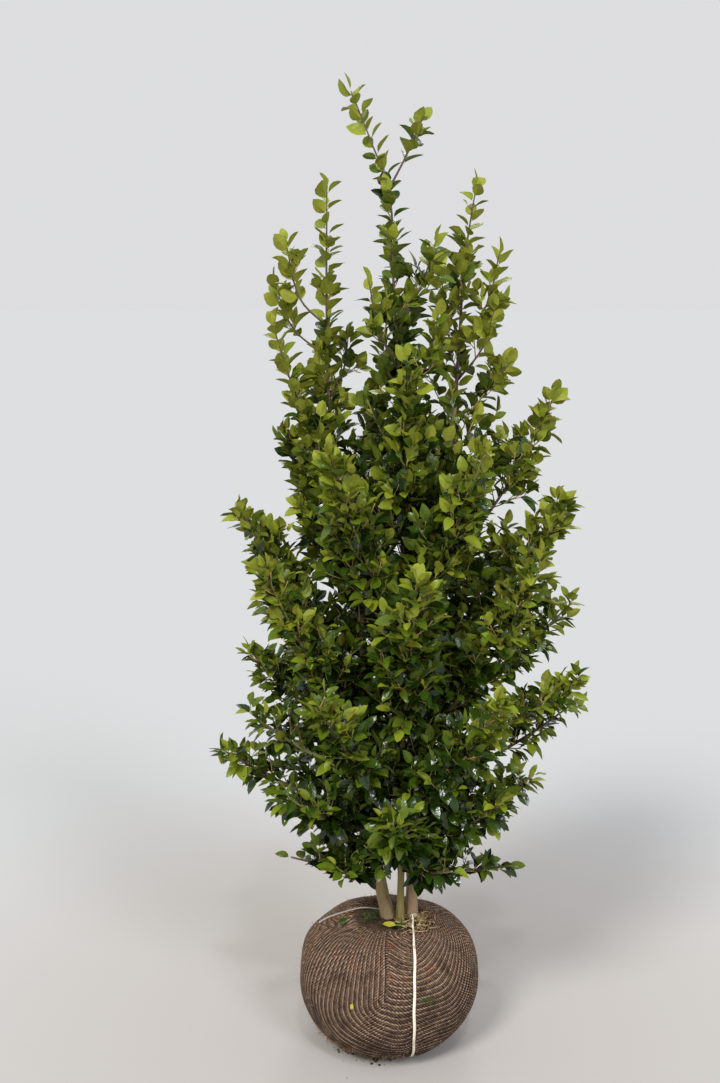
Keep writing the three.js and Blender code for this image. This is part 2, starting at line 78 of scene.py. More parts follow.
# Each stem's line, and its radius at the foot and at the top.
STEM_FOOT = DIMPLE_FLOOR + 0.3
STEMS = {
    "left": (
        [[-2, 0, STEM_FOOT], [-26, 10, 412], [-60, 26, 900], [-83, 32, 1270], [-118, 34, 1362]],
        15.5,
        5,
    ),
    "middle": ([[26, -20, STEM_FOOT], [29, -36, 760], [27, -30, 1229], [26, -22, 1424]], 8.5, 4.2),
    "right": ([[52, 5, STEM_FOOT], [57, 14, 436], [98, 28, 960], [142, 26, 1498]], 13.8, 4.6),
}
STEM_POINTS = 160
STEM_TAPER = 0.8
FLARE = 3.2
FLARE_HEIGHT = 26.0
CROWN_X = 20.0

# Where each limb leaves its stem, its tip's bearing, reach and height, its bare share, and the
# half width of its foliage.
SIDE_LIMBS = {
    "left": [
        [402, 187, 292, 469, 0, 56],
        [450, 172, 328, 612, 0, 54],
        [540, 181, 432, 727, 0.4, 50],
        [630, 190, 372, 843, 0.32, 56],
        [705, 173, 370, 959, 0.32, 62],
        [910, 184, 372, 1305, 0.32, 60],
        [1050, 171, 262, 1472, 0, 70],
        [1240, 182, 286, 1702, 0, 50],
    ],
    "right": [
        [394, 352, 298, 446, 0, 50],
        [444, 8, 252, 558, 0, 54],
        [500, 355, 344, 681, 0.32, 52],
        [605, 4, 440, 836, 0.4, 52],
        [690, 350, 432, 902, 0.38, 54],
        [792, 6, 424, 1071, 0.34, 64],
        [880, 356, 376, 1302, 0.3, 72],
        [1120, 3, 356, 1550, 0.32, 66],
    ],
}
# Tiers of limbs toward the front and the back: foot, reach and height of the tips, bare share,
# half width, and each limb's bearing off straight ahead.
TIERS = [
    [406, 240, 500, 0, 76, [-38, 36]],
    [470, 325, 680, 0, 86, [-54, -4, 50]],
    [560, 372, 940, 0, 90, [-30, 34]],
    [740, 350, 1200, 0, 88, [-60, 4, 62]],
    [980, 285, 1455, 0, 84, [-34, 38]],
    [1190, 165, 1640, 0, 72, [3]],
]
BACK_TURN = 9
BACK_LIFT = 8
STAGGER = 16
LIMB_POINTS = 80
LIMB_THINNEST = 2.6
LENGTH_PER_RADIUS = 90.0
SHARE_OF_STEM = 0.62
LIMB_BEND = 0.55
LIMB_BEND_RISE = 0.3
STEM_PAST_LIMB = 20.0  # how much higher than a limb's foot its stem must reach
# The share of a line at which its growth starts: on a limb, past the bare stretch of a bough, on
# a leading shoot and on a shoot at its side.
START = {"limb": 0.08, "past_bare": 0.02, "head": 0.04, "head_side": 0.3}
TWIG_TIP_RADIUS = 1.2

# Each stem's leading shoot, the shoots at its sides, and its half width.
HEADS = {
    "left": (
        [[-134, 36, 1466], [-140, 34, 1700], [-138, 28, 1960]],
        [
            [[-139, 34, 1655], [-196, 20, 1712], [-229, 12, 1846]],
            [[-138, 35, 1590], [-212, 46, 1648], [-259, 52, 1758]],
            [[-135, 36, 1490], [-104, 80, 1560], [-92, 96, 1650]],
        ],
        54,
    ),
    "middle": (
        [[5, -16, 1712], [-6, -12, 1930], [-46, -14, 2040], [-93, -16, 2152]],
        [
            [[-7, -12, 1940], [30, -6, 2010], [66, -2, 2090]],
            [[10, -17, 1640], [60, -34, 1736], [94, -44, 1842]],
            [[15, -18, 1560], [-28, -52, 1650], [-50, -74, 1752]],
            [[22, -20, 1490], [74, -62, 1580], [98, -84, 1690]],
            [[18, -18, 1520], [34, 36, 1620], [44, 62, 1724]],
        ],
        64,
    ),
    "right": (
        [[150, 24, 1650], [155, 20, 1776], [181, 14, 1964]],
        [
            [[149, 24, 1618], [205, 14, 1700], [232, 8, 1818]],
            [[147, 26, 1540], [196, -6, 1610], [222, -20, 1700]],
            [[150, 24, 1580], [120, 70, 1660], [112, 88, 1770]],
            [[145, 26, 1509], [196, 12, 1516], [264, 0, 1584]],
        ],
        56,
    ),
}
HIGH_FOLIAGE = 1500
LOW_FOLIAGE = 800
SIDE_DEPTH = 60.0  # foliage that ends within it, front to back, counts as the sides'

# How foliage fills its space. Lists of values go by the heights in the list before them, and
# angles are in radians.
SPACE_GAP = 0.02  # between two masses, in half widths
FURTHEST_TWIG = 1.38  # from its mass's own lines, in half widths
SKIRT_HEIGHT = 348.0  # the lowest leaves at the stems, and how much higher they hang further out
SKIRT_RISE = {"left": 0.38, "right": 0.18, "depth": 0.28}
BOX_SPARE = 4.0

SHOOT_GAP = 12.0
SHOOT_ANGLE = 0.95
SHOOT_ANGLE_SPREAD = 0.7
SHOOT_LIFT = 0.6
SHOOT_SHORTENS = (1.35, 1.05)  # at its limb's foot, in half widths, and how much less at its tip
SHOOT_SPREAD = (0.6, 1.1)
SHOOT_STRAY = (0.3, 0.7)  # where each stands in its own step along the limb
SHORTEST_SHOOT = 12.0
SHOOT_CLEAR = 5.0  # of the stems' bark
FULL_AT = [500, 900, 1150, 1300, 1460, 1620, 1800, 2000]
FULLNESS = [0.8, 0.96, 1.0, 0.96, 0.72, 0.44, 0.36, 0.16]  # the share of shoots that grow
TIP_FULLNESS = 0.6  # and of those, at a limb's tip
SLENDER_AT = [1150, 1450, 2000]
SLENDERNESS = [1.0, 0.75, 0.7]  # the shoots' length, as a share
TAN_SHARE = 0.5  # of the shoots, the rest green

# Spurs are short shoots on the stems themselves, which fill the crown's inside.
SPUR_GAP = 14.0
SPUR_LENGTH = (60.0, 125.0)
SPUR_LOWEST = 430.0
SPUR_BELOW_TOP = 40.0
SPUR_REACH = 2.6  # in half widths

TWIGLET_GAP = 23.0
TWIGLET_ANGLE = 0.75
TWIGLET_LIFT = 0.35
TWIGLET_RUN = (0.18, 0.72)  # where on their shoot they start, and over how much of it they go
TWIGLET_SPREAD = (0.4, 0.7)  # of their shoot's length
TWIGLET_SHORTENS = (1.15, 0.5)
TWIGLET_LENGTH = (16.0, 58.0)
SHORTEST_TWIGLET = 8.0
TWIGLET_CLEAR = 4.0
TWIGLET_PAST_SHOOT = 0.1  # how much further out than a shoot its tip may be, in half widths

LEAF_GAP = 13.0
LEADER_LEAF_GAP = 10.5  # leaves straight on a mass's own twigs stand closer
LEADER_AT = [1500, 1700, 1950]
LEADER_FULLNESS = [1.0, 1.0, 0.84]  # the share of those leaves that grow
LEADER_TIP_LEAVES = 5  # at a tip these always grow
LEADER_STRAY = 0.3
BARE_SHARES = (0.32, 0.34)  # the leafless foot of a shoot and of a twiglet
BARE_TIP = 1.15  # how far before its mass's end a limb's growth stops, in leaf lengths
BARE_HEAD_TIP = 0.4
LEAF_STRAY = (0.92, 1.08)
LEAF_PAST_TWIG = (0.12, 0.22)  # how much further out a leaf's middle and its tip may reach
LEAF_CLEAR = (3.0, 2.0)  # of the stems' bark, for its middle and its tip
LEAF_MIDDLE = 0.55
LEAF_LENGTH = 41.0
LENGTH_AT = [500, 900, 1300, 1700]
LENGTH_SHARE = [1.1, 1.05, 1.07, 1.16]
LENGTH_SPREAD = (0.76, 1.18)
NEWEST_LENGTHS = [0.85, 0.95, 1.0]  # for the last leaf, the one before it and all older ones
INNER_LEAF = 0.97  # the size of the inmost leaves, as a share of the outmost
GROWN_AT = [900, 1500]
LEAF_WIDTH = [0.5, 0.6]  # of its length
WIDTH_SPREAD = (0.84, 1.14)
LEAF_ANGLES = [0.2, 0.65, 0.85, 1.0]  # from its twig: the last leaf goes on nearly straight
LEAF_ANGLE_SPREAD = (-0.16, 0.24)
HANG_AT = [700, 1500]
HANG = [-0.22, 0.22]  # old low leaves hang, young high ones rise
FACE_UP = [1.3, 1.0]  # how strongly faces turn to the sky, at GROWN_AT, against the rest of these
FACE_ALONG = 0.65
FACE_OUT = 0.6
FACE_TURN = 1.5  # less the upward part, it is how strongly they turn outwards
FACE_STRAY = 0.6
FOLD = (0.15, 0.65)  # along the midrib, as a slope
DROOP = (0.17, 0.13)  # of the length: the middle value, and how it spreads
WAVE = 0.05

# Leaves are younger towards the top, the outside and the twigs' tips. Towards the crown's
# inside they also take darker tones as painted shade, and outside lighter ones as painted light.
YOUNG_AT = [300, 600, 900, 1350, 1700, 2150]
YOUTH = [-0.2, 0.0, 0.09, 0.24, 0.58, 0.76]
OUTER_YOUTH_AND_LIGHT = 0.85
CROWN_AT = [300, 700, 1200, 1700, 2200]
CROWN_RADIUS = [260, 390, 380, 220, 90]
OUTMOST = 1.15  # in crown radii, past which leaves get no younger
TIP_YOUNG_AT = [600, 1300]
TIP_YOUTH = [0.07, 0.15]  # for each leaf nearer to the tip than the fourth
SPRAY_MOOD = 0.24  # how much younger or older one spray looks than the next
LEAF_MOOD = 0.1


# ---------------------------------------------------------------- small tools


def unit(v):
    """Vectors divided by their lengths."""
    return v / np.maximum(np.linalg.norm(v, axis=-1, keepdims=True), 1e-9)


def smoothstep(x):
    """3 x squared minus 2 x cubed, held between 0 and 1."""
    x = np.clip(x, 0.0, 1.0)
    return x * x * (3 - 2 * x)


def bell(x, width):
    """A bell curve, e to the power of minus (x / width) squared."""
    return np.exp(-((x / width) ** 2))


def linear(code):
    """An sRGB hex colour as linear red, green, blue and alpha."""
    parts = [int(code[i : i + 2], 16) / 255 for i in (1, 3, 5)]
    return tuple(p / 12.92 if p <= 0.04045 else ((p + 0.055) / 1.055) ** 2.4 for p in parts) + (1.0,)


def run_along(line):
    """How far along a polyline each of its points is."""
    return np.concatenate([[0], np.cumsum(np.linalg.norm(np.diff(line, axis=0), axis=1))])


def even(points, count):
    """A polyline with its points moved to equal steps of length along it."""
    run = run_along(points)
    wanted = np.linspace(0, run[-1], count)
    return np.stack([np.interp(wanted, run, points[:, i]) for i in range(3)], axis=1)


def rounded(points, count):
    """A centripetal Catmull-Rom curve through the points: on each stretch a cubic whose end
    slopes come from its neighbours, weighted by the square roots of their distances."""
    p = np.array(points, float)
    p = np.vstack([2 * p[0] - p[1], p, 2 * p[-1] - p[-2]])
    made = []
    t = np.linspace(0, 1, 60, endpoint=False)[:, None]
    for a, b, c, d in zip(p[:-3], p[1:-2], p[2:-1], p[3:]):
        da, db, dc = (max(np.linalg.norm(v) ** 0.5, 1e-4) for v in (b - a, c - b, d - c))
        m = ((b - a) / da - (c - a) / (da + db) + (c - b) / db) * db
        n = ((c - b) / db - (d - b) / (db + dc) + (d - c) / dc) * db
        made.append(b + m * t + (3 * (c - b) - 2 * m - n) * t**2 + (m + n - 2 * (c - b)) * t**3)
    return even(np.vstack([*made, p[-2:-1]]), count)


def bent(start, bend, tip, t):
    """Points of quadratic curves at the parameters t, and their directions."""
    a, b = 1 - t, t
    place = a * a * start + 2 * a * b * bend + b * b * tip
    return place, unit(a * (bend - start) + b * (tip - bend))


def bend_of(start, tip):
    """A limb's bend: it goes out low and turns up towards its tip."""
    bend = start + (tip - start) * LIMB_BEND
    bend[..., 2] = start[..., 2] + (tip[..., 2] - start[..., 2]) * LIMB_BEND_RISE
    return bend


def along_line(line, t):
    """Points and directions at the shares t of an evenly stepped polyline."""
    x = np.clip(np.asarray(t, float), 0, 1) * (len(line) - 1)
    i = np.minimum(x.astype(int), len(line) - 2)
    f = (x - i)[..., None]
    slope = unit(np.gradient(line, axis=0))
    return line[i] * (1 - f) + line[i + 1] * f, unit(slope[i] * (1 - f) + slope[i + 1] * f)


def length_of(line):
    """The sum of a polyline's steps."""
    return float(np.linalg.norm(np.diff(line, axis=0), axis=1).sum())


def distance_to(points, starts, ends):
    """Distances from each point to each segment: its nearest point is the foot of the
    perpendicular, held between the segment's ends."""
    d = ends - starts
    t = np.einsum("psk,sk->ps", points[:, None] - starts, d) / np.maximum((d * d).sum(1), 1e-9)
    near = starts + np.clip(t, 0, 1)[..., None] * d
    return np.linalg.norm(points[:, None] - near, axis=2)


def new_piece(name, vertices, faces, materials, slot, replaces=(), kinds=None, uv=None, crease=None):
    """A mesh object from arrays. Faces all have the same number of corners, kinds gives each
    face's material, uv each corner's place, and crease marks vertices whose joining edges are
    sharp: an edge is sharp where both its ends carry the same mark above zero."""
    mesh = bpy.data.meshes.new(name)
    corners = faces.shape[1]
    mesh.vertices.add(len(vertices))
    mesh.vertices.foreach_set("co", (vertices * MM).astype(np.float32).ravel())
    mesh.loops.add(faces.size)
    mesh.loops.foreach_set("vertex_index", faces.astype(np.int32).ravel())
    mesh.polygons.add(len(faces))
    mesh.polygons.foreach_set("loop_start", np.arange(0, faces.size, corners, dtype=np.int32))
    mesh.polygons.foreach_set("use_smooth", np.ones(len(faces), bool))
    if kinds is not None:
        mesh.polygons.foreach_set("material_index", kinds.astype(np.int32))
    mesh.update(calc_edges=True)
    if uv is not None:
        mesh.uv_layers.new(name="UVMap").uv.foreach_set("vector", uv.astype(np.float32).ravel())
    if crease is not None:
        ends = np.empty(len(mesh.edges) * 2, np.int32)
        mesh.edges.foreach_get("vertices", ends)
        mark = crease[ends].reshape(-1, 2)
        sharp = mesh.attributes.new("sharp_edge", "BOOLEAN", "EDGE")
        sharp.data.foreach_set("value", (mark[:, 0] == mark[:, 1]) & (mark[:, 0] > 0))
    for material in materials:
        mesh.materials.append(material)
    mesh.validate()
    piece = bpy.data.objects.new(name, mesh)
    bpy.context.scene.collection.objects.link(piece)
    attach(piece, "root")
    if replaces:
        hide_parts(*replaces)
    return piece


def frames(directions, judged=None):
    """Two directions square to each given one: its cross product with UP, or with +Y where the
    judged direction, by default the given one, runs nearly upright, and the one square to both."""
    steep = np.abs((directions if judged is None else judged)[..., 2:3]) > 0.9
    reference = np.where(steep, np.array([0.0, 1.0, 0.0]), UP)
    side = unit(np.cross(directions, reference))
    return side, np.cross(side, directions)


def ring_round(side, out, angle):
    """Round each point, cos(angle) times its side direction plus sin(angle) times the other."""
    return np.cos(angle)[:, None] * side[..., None, :] + np.sin(angle)[:, None] * out[..., None, :]


def circle(sides):
    """Equal steps of angle once round."""
    return np.linspace(0, 2 * np.pi, sides, endpoint=False)


def tube_faces(rings, sides):
    """A closed tube's triangles: rings joined in turn, and a fan at both ends. The fans' middles
    are the two vertices after the rings'."""
    k = np.arange(sides)
    n = (k + 1) % sides
    i = (np.arange(rings - 1) * sides)[:, None]
    quads = np.stack([i + k, i + n, i + sides + n, i + sides + k], 2).reshape(-1, 4)
    first, last = np.full(sides, rings * sides), np.full(sides, rings * sides + 1)
    top = (rings - 1) * sides
    return np.concatenate([
        quads[:, [0, 2, 1]],
        quads[:, [0, 3, 2]],
        np.stack([first, k, n], 1),
        np.stack([last, top + n, top + k], 1),
    ])


def copied(faces, count, step):
    """The same faces on each of count sets of step vertices."""
    return (faces[None] + (np.arange(count) * step)[:, None, None]).reshape(-1, faces.shape[1])


def tubes(lines, radii, sides):
    """Many closed tubes at once: rings of vertices at radius r round each point of each line,
    with a point at both ends. Lines are (tubes, rings, 3)."""
    count, rings = lines.shape[:2]
    directions = unit(np.gradient(lines, axis=1))
    side, out = frames(directions, directions[:, rings // 2][:, None])
    body = lines[:, :, None] + ring_round(side, out, circle(sides)) * radii[:, :, None, None]
    vertices = np.concatenate([body.reshape(count, -1, 3), lines[:, :1], lines[:, -1:]], axis=1)
    return vertices.reshape(-1, 3), copied(tube_faces(rings, sides), count, vertices.shape[1])


def joined(parts):
    """Several (vertices, faces) as one."""
    offset = 0
    all_vertices, all_faces = [], []
    for vertices, faces in parts:
        all_vertices.append(vertices)
        all_faces.append(faces + offset)
        offset += len(vertices)
    return np.concatenate(all_vertices), np.concatenate(all_faces)


# ---------------------------------------------------------------- finishes


def add(tree, kind, inputs=(), stops=(), **settings):
    """Adds one shader node and gives its outputs. inputs are its inputs by name or number, each
    a value or another node's output. stops are a colour ramp's places and sRGB colours. settings
    are the node's own properties."""
    made = tree.nodes.new("ShaderNode" + kind)
    for name, value in settings.items():
        setattr(made, name, value)
    if stops:
        elements = made.color_ramp.elements
        elements[0].position, elements[1].position = stops[0][0], stops[-1][0]
        for place, _ in stops[1:-1]:
            elements.new(place)
        for element, (_, code) in zip(elements, stops):
            element.color = linear(code)
    for name, value in dict(inputs).items():
        if isinstance(value, bpy.types.NodeSocket):
            tree.links.new(value, made.inputs[name])
        else:
            made.inputs[name].default_value = value
    return made.outputs


def finish(name, build):
    """A material. build(tree) adds its pattern's nodes and gives the inputs of its surface."""
    made = bpy.data.materials.new(name)
    made.use_nodes = True
    tree = made.node_tree
    tree.nodes.clear()
    surface = add(tree, "BsdfPrincipled", build(tree))
    add(tree, "OutputMaterial", {"Surface": surface[0]})
    return made


# Sizes in millimetres. A pattern's scale is how many of them go into a metre.
PUCKER_SIZE = 6.0  # between the swellings of a leaf's blade
BARK_PORE = (6.0, 1.6)  # a lenticel's width and height
BARK_STRETCH = 4.0  # blotches are this much longer than wide
HAIR_SIZE = 3.6
SOIL_CRUMB = 5.5
SOIL_STAIN = 34.0


def leaf_face(colour, roughness, shine):
    """A leaf's face in one plain colour, puckered between its veins, which breaks up its shine."""

    def build(tree):
        place = add(tree, "TexCoord")["Object"]
        swell = add(tree, "TexNoise", {"Vector": place, "Scale": 1000 / PUCKER_SIZE, "Detail": 1.0})
        relief = add(tree, "Bump", {"Height": swell[0], "Strength": 0.45, "Distance": 0.002})
        return {
            "Base Color": linear(colour),
            "Roughness": roughness,
            "Specular IOR Level": shine,
            "Normal": relief[0],
        }

    return build


# Holly leaf: a leathery blade under a thick clear wax. It gives deep colour and small bright
# pale highlights. Young leaves are yellower and not yet as glossy.
# The darker tones go to older leaves and, as painted shade, to the crown's inside.
LEAF_TOPS = [
    finish("waxed_leaf_deep", leaf_face("#1b2b08", 0.2, 0.46)),
    finish("waxed_leaf_dark", leaf_face("#2b400c", 0.21, 0.42)),
    finish("waxed_leaf_green", leaf_face("#4b5c13", 0.25, 0.3)),
    finish("leaf_mid_green", leaf_face("#6b771c", 0.33, 0.26)),
    finish("young_leaf_lime", leaf_face("#767f21", 0.4, 0.2)),
    finish("young_leaf_gold", leaf_face("#81892a", 0.43, 0.2)),
]
# The leaf's underside has no wax: matt, paler and yellower.
LEAF_UNDERS = [
    finish("leaf_underside_grown", leaf_face("#5c6a26", 0.6, 0.12)),
    finish("leaf_underside_young", leaf_face("#858a30", 0.6, 0.12)),
]


def thin_bark(light, dark, pore, width):
    """Thin smooth bark: blotches of that width in millimetres drawn out along the stem, small
    pale pores that lie across it, and a fine relief."""

    def build(tree):
        place = add(tree, "TexCoord")["Object"]
        per_metre = 1000 / width
        drawn = add(tree, "Mapping", {
            "Vector": place, "Scale": (per_metre, per_metre, per_metre / BARK_STRETCH),
        })
        blotch = add(tree, "TexNoise", {
            "Vector": drawn[0], "Scale": 1.0, "Detail": 5.0, "Roughness": 0.6,
        })
        wide, tall = (1000 / size for size in BARK_PORE)
        across = add(tree, "Mapping", {"Vector": place, "Scale": (wide, wide, tall)})
        pores = add(tree, "TexVoronoi", {"Vector": across[0], "Scale": 1.0})
        speck = add(tree, "ValToRGB", {0: pores["Distance"]},
                    [(0.0, "#ffffff"), (0.14, "#ffffff"), (0.24, "#000000")])
        skin = add(tree, "ValToRGB", {0: blotch[0]},
                   [(0.3, dark), (0.48, light), (0.64, light), (0.8, dark)])
        colour = add(tree, "Mix", {0: speck[0], 6: skin[0], 7: linear(pore)}, data_type="RGBA")
        relief = add(tree, "Bump", {"Height": blotch[0], "Strength": 0.35, "Distance": 0.0012})
        return {"Base Color": colour[2], "Roughness": 0.75, "IOR": 1.45, "Normal": relief[0]}

    return build


# Young holly bark: thin, smooth and matt, greyer with age and olive where it is young.
STEM_BARKS = {
    "left": finish("fawn_holly_bark", thin_bark("#98845e", "#665238", "#af9c7a", 10)),
    "middle": finish("olive_holly_bark", thin_bark("#847841", "#584d2c", "#9b905a", 9)),
    "right": finish("grey_holly_bark", thin_bark("#987f62", "#66503b", "#ab947a", 10)),
}
BOUGH_BARK = finish("green_grey_young_bark", thin_bark("#7d7a4c", "#575236", "#989472", 6))
LEADER_BARK = finish("purple_brown_shoot_bark", thin_bark("#5d4a41", "#3e302b", "#74635a", 4))
# This year's shoots: green skin, or tan where it has begun to turn to bark.
TAN_TWIG = finish("tan_twig", thin_bark("#ab8d52", "#82693a", "#bfa670", 4))
GREEN_TWIG = finish("green_twig", thin_bark("#84873f", "#646a2e", "#9c9c5c", 4))


def knitted_jute(tree):
    """Knitted jute over soil. u counts rows of knitting and v counts stitches: a thin pale rib
    stands on each row, a dark groove runs beside it, and rungs of yarn cross from row to row.
    Its height gives its colour: low places are dark where soil shows between the rows, and also
    as painted shade in the recesses. Soil stains it in clouds, and it is painted paler towards its
    top and darker towards its foot, as painted light from above."""
    place = add(tree, "TexCoord")
    across = add(tree, "SeparateXYZ", {0: place["UV"]})
    hairs = add(tree, "TexNoise", {
        "Vector": place["Object"], "Scale": 1000 / HAIR_SIZE, "Detail": 3.0, "Roughness": 0.75,
    })
    stain = add(tree, "TexNoise", {
        "Vector": place["Object"], "Scale": 1000 / SOIL_STAIN, "Detail": 6.0, "Roughness": 0.68,
    })
    row = add(tree, "Math", {0: across[0]}, operation="FRACT")
    rung = add(tree, "Math", {0: across[1], 1: 2 * math.pi}, operation="MULTIPLY")
    rung = add(tree, "Math", {0: rung[0]}, operation="SINE")
    rib = add(tree, "ValToRGB", {0: row[0]}, [
        (0.0, "#2e2e2e"), (0.1, "#404040"), (0.2, "#adadad"), (0.32, "#989898"),
        (0.46, "#6a6a6a"), (0.72, "#757575"), (0.9, "#4c4c4c"), (1.0, "#2e2e2e"),
    ])
    height = add(tree, "Math", {0: rung[0], 1: 0.15, 2: rib[0]}, operation="MULTIPLY_ADD")
    height = add(tree, "Math", {0: hairs[0], 1: 1.15, 2: height[0]}, operation="MULTIPLY_ADD")
    # Low places are darker: soil showing between the rows, and painted shade in the recesses.
    yarn = add(tree, "ValToRGB", {0: height[0]}, [
        (0.46, "#17100c"), (0.62, "#2e221b"), (0.76, "#564233"), (0.92, "#7a6551"), (1.0, "#a68f79"),
    ])
    rise = add(tree, "SeparateXYZ", {0: place["Object"]})
    # Painted light and shade by height alone: paler towards the top, as if lit from above, darker
    # towards the foot.
    height_light_and_stain = add(tree, "MapRange", {
        "Value": rise[2], "From Min": 0.02, "From Max": 0.29, "To Min": -0.07, "To Max": 0.1,
    })
    height_light_and_stain = add(tree, "Math", {0: height_light_and_stain[0], 1: stain[0]}, operation="ADD")
    # This ramp carries real soil stains in clouds and the painted light by height.
    soiled = add(tree, "ValToRGB", {0: height_light_and_stain[0]}, [
        (0.3, "#6a5b52"), (0.42, "#a8988b"), (0.5, "#dfd5cb"), (0.58, "#ffffff"), (0.7, "#ffd9c2"),
    ])
    yarn_with_stain_and_light = {0: 0.85, 6: yarn[0], 7: soiled[0]}
    colour = add(tree, "Mix", yarn_with_stain_and_light, data_type="RGBA", blend_type="MULTIPLY")
    relief = add(tree, "Bump", {"Height": height[0], "Strength": 0.7, "Distance": 0.003})
    return {"Base Color": colour[2], "Roughness": 0.95, "IOR": 1.4, "Normal": relief[0]}


def crumbly_soil(tree):
    """Moist peaty soil: crumbs of a few millimetres, dark brown with paler dry grains."""
    place = add(tree, "TexCoord")["Object"]
    crumbs = add(tree, "TexNoise", {
        "Vector": place, "Scale": 1000 / SOIL_CRUMB, "Detail": 6.0, "Roughness": 0.7,
    })
    tone = add(tree, "ValToRGB", {0: crumbs[0]},
               [(0.3, "#241a13"), (0.55, "#4c392b"), (0.75, "#7a634d")])
    relief = add(tree, "Bump", {"Height": crumbs[0], "Strength": 1.0, "Distance": 0.004})
    return {"Base Color": tone[0], "Roughness": 0.95, "IOR": 1.35, "Normal": relief[0]}


def woven_band(clean, soiled):
    """Flat woven polypropylene: ribs along the band, counted by u, and a little soil in clouds
    of about 26 mm."""

    def build(tree):
        place = add(tree, "TexCoord")
        ribs = add(tree, "TexWave", {
            "Vector": place["UV"], "Scale": 2.2, "Distortion": 0.6, "Detail": 1.0,
        })
        smear = add(tree, "TexNoise", {
            "Vector": place["Object"], "Scale": 38.0, "Detail": 5.0, "Roughness": 0.65,
        })
        tone = add(tree, "ValToRGB", {0: smear[0]}, [(0.3, soiled), (0.46, clean), (0.8, clean)])
        relief = add(tree, "Bump", {"Height": ribs[0], "Strength": 0.4, "Distance": 0.0006})
        return {"Base Color": tone[0], "Roughness": 0.55, "IOR": 1.49, "Normal": relief[0]}

    return build


def dry_fibre(light, dark):
    """Dry plant fibre: matt, with flecks of about 8 mm."""

    def build(tree):
        place = add(tree, "TexCoord")["Object"]
        fleck = add(tree, "TexNoise", {"Vector": place, "Scale": 120.0, "Detail": 2.0})
        tone = add(tree, "ValToRGB", {0: fleck[0]}, [(0.38, dark), (0.6, light)])
        return {"Base Color": tone[0], "Roughness": 0.85, "IOR": 1.4}

    return build


def berry_skin(tree):
    """A ripe berry: a glossy skin with faint darker freckles of about 1 mm."""
    place = add(tree, "TexCoord")["Object"]
    freckle = add(tree, "TexNoise", {"Vector": place, "Scale": 900.0, "Detail": 1.0})
    tone = add(tree, "ValToRGB", {0: freckle[0]}, [(0.3, "#b02c12"), (0.5, "#e0481e")])
    return {"Base Color": tone[0], "Roughness": 0.2, "IOR": 1.5}


# Jute, soil, straw, moss and dry leaves are matt and mottled. The bands are smooth plastic with
# a faint sheen, and the berry's skin shines.
JUTE = finish("knitted_jute_net", knitted_jute)
SOIL = finish("moist_soil", crumbly_soil)
TIE = finish("woven_cream_tie", woven_band("#efe6d2", "#b9a687"))
DRAWSTRING = finish("grey_drawstring", woven_band("#a8a098", "#7f766c"))
JUTE_FIBRE = finish("loose_jute_fibre", dry_fibre("#ab957e", "#7c6552"))
STRAW = finish("dry_straw", dry_fibre("#c4b083", "#7d6540"))
DRY_LEAF = finish("dry_fallen_leaf", dry_fibre("#8a7148", "#553f27"))
SOILED_FIBRE = finish("soiled_jute_fibre", dry_fibre("#8d6f55", "#5c4431"))
MOSS = finish("green_moss", dry_fibre("#56662e", "#1f2a14"))
BERRY = finish("ripe_holly_berry", berry_skin)
FALLEN_YELLOW = finish("fallen_leaf_yellow", leaf_face("#aca42f", 0.5, 0.3))

# ---------------------------------------------------------------- stems and limbs


class Stem:
    """A stem's line and how thick it is along it."""

    def __init__(self, points, foot, top):
        self.line = rounded(points, STEM_POINTS)
        self.length = length_of(self.line)
        self.foot, self.tip = foot, top

    def radius(self, share):
        """foot + (top - foot) x share^taper, and a flare that fades by e^(-height / its height)."""
        flare = FLARE * np.exp(-share * self.length / FLARE_HEIGHT)
        return self.foot + (self.tip - self.foot) * share**STEM_TAPER + flare

    def share_at(self, height):
        """How far along the stem, as a share, it reaches a height."""
        return np.interp(height, self.line[:, 2], np.linspace(0, 1, len(self.line)))


stems = {name: Stem(*row) for name, row in STEMS.items()}


def stem_facing(bearing, height):
    """The stem that stands nearest the limb's side of the crown at that height."""
    tall = [s for s in stems.values() if s.line[-1, 2] > height + STEM_PAST_LIMB]

    def side(stem):
        p = along_line(stem.line, stem.share_at(height))[0]
        return p[0] * math.cos(bearing) + p[1] * math.sin(bearing)

    return max(tall, key=side)


masses, boughs = [], []


def add_limb(name, row):
    """A limb: its foliage's mass, and its bough where it is bare for a stretch first."""
    height, bearing, reach, tip_height, bare, half_width = row
    bearing = math.radians(bearing)
    stem = stem_facing(bearing, height)
    share = stem.share_at(height)
    start = along_line(stem.line, share)[0]
    tip = np.array([CROWN_X + reach * math.cos(bearing), reach * math.sin(bearing), tip_height])
    t = np.linspace(0, 1, 5 * LIMB_POINTS)[:, None]
    line = even(bent(start, bend_of(start, tip), tip, t)[0], LIMB_POINTS)
    length = length_of(line)
    base = min(LIMB_THINNEST + length / LENGTH_PER_RADIUS, float(stem.radius(share)) * SHARE_OF_STEM)
    if bare > 0:
        boughs.append({"name": "bough_" + name, "line": line, "bare": bare, "base": base})
    masses.append({
        "name": "mass_" + name, "line": line, "sides": [], "length": length, "base": base,
        "half_width": half_width, "from": bare, "bare_tip": BARE_TIP,
        "first_leaf": bare + START["past_bare"] if bare > 0 else START["limb"],
        "foot_stem": stem, "foot_share": share,
    })


def add_head(name, points, sides, half_width):
    """A stem's leading shoot, which goes on from its top, and the shoots at its sides."""
    stem = stems[name]
    line = rounded([list(stem.line[-1]), *points], LIMB_POINTS)
    masses.append({
        "name": "head_" + name, "line": line, "length": length_of(line), "base": float(stem.tip),
        "sides": [rounded(side, LIMB_POINTS // 2) for side in sides], "half_width": half_width,
        "from": 0.0, "first_leaf": START["head"], "bare_tip": BARE_HEAD_TIP,
        "foot_stem": None, "foot_share": 0,
    })


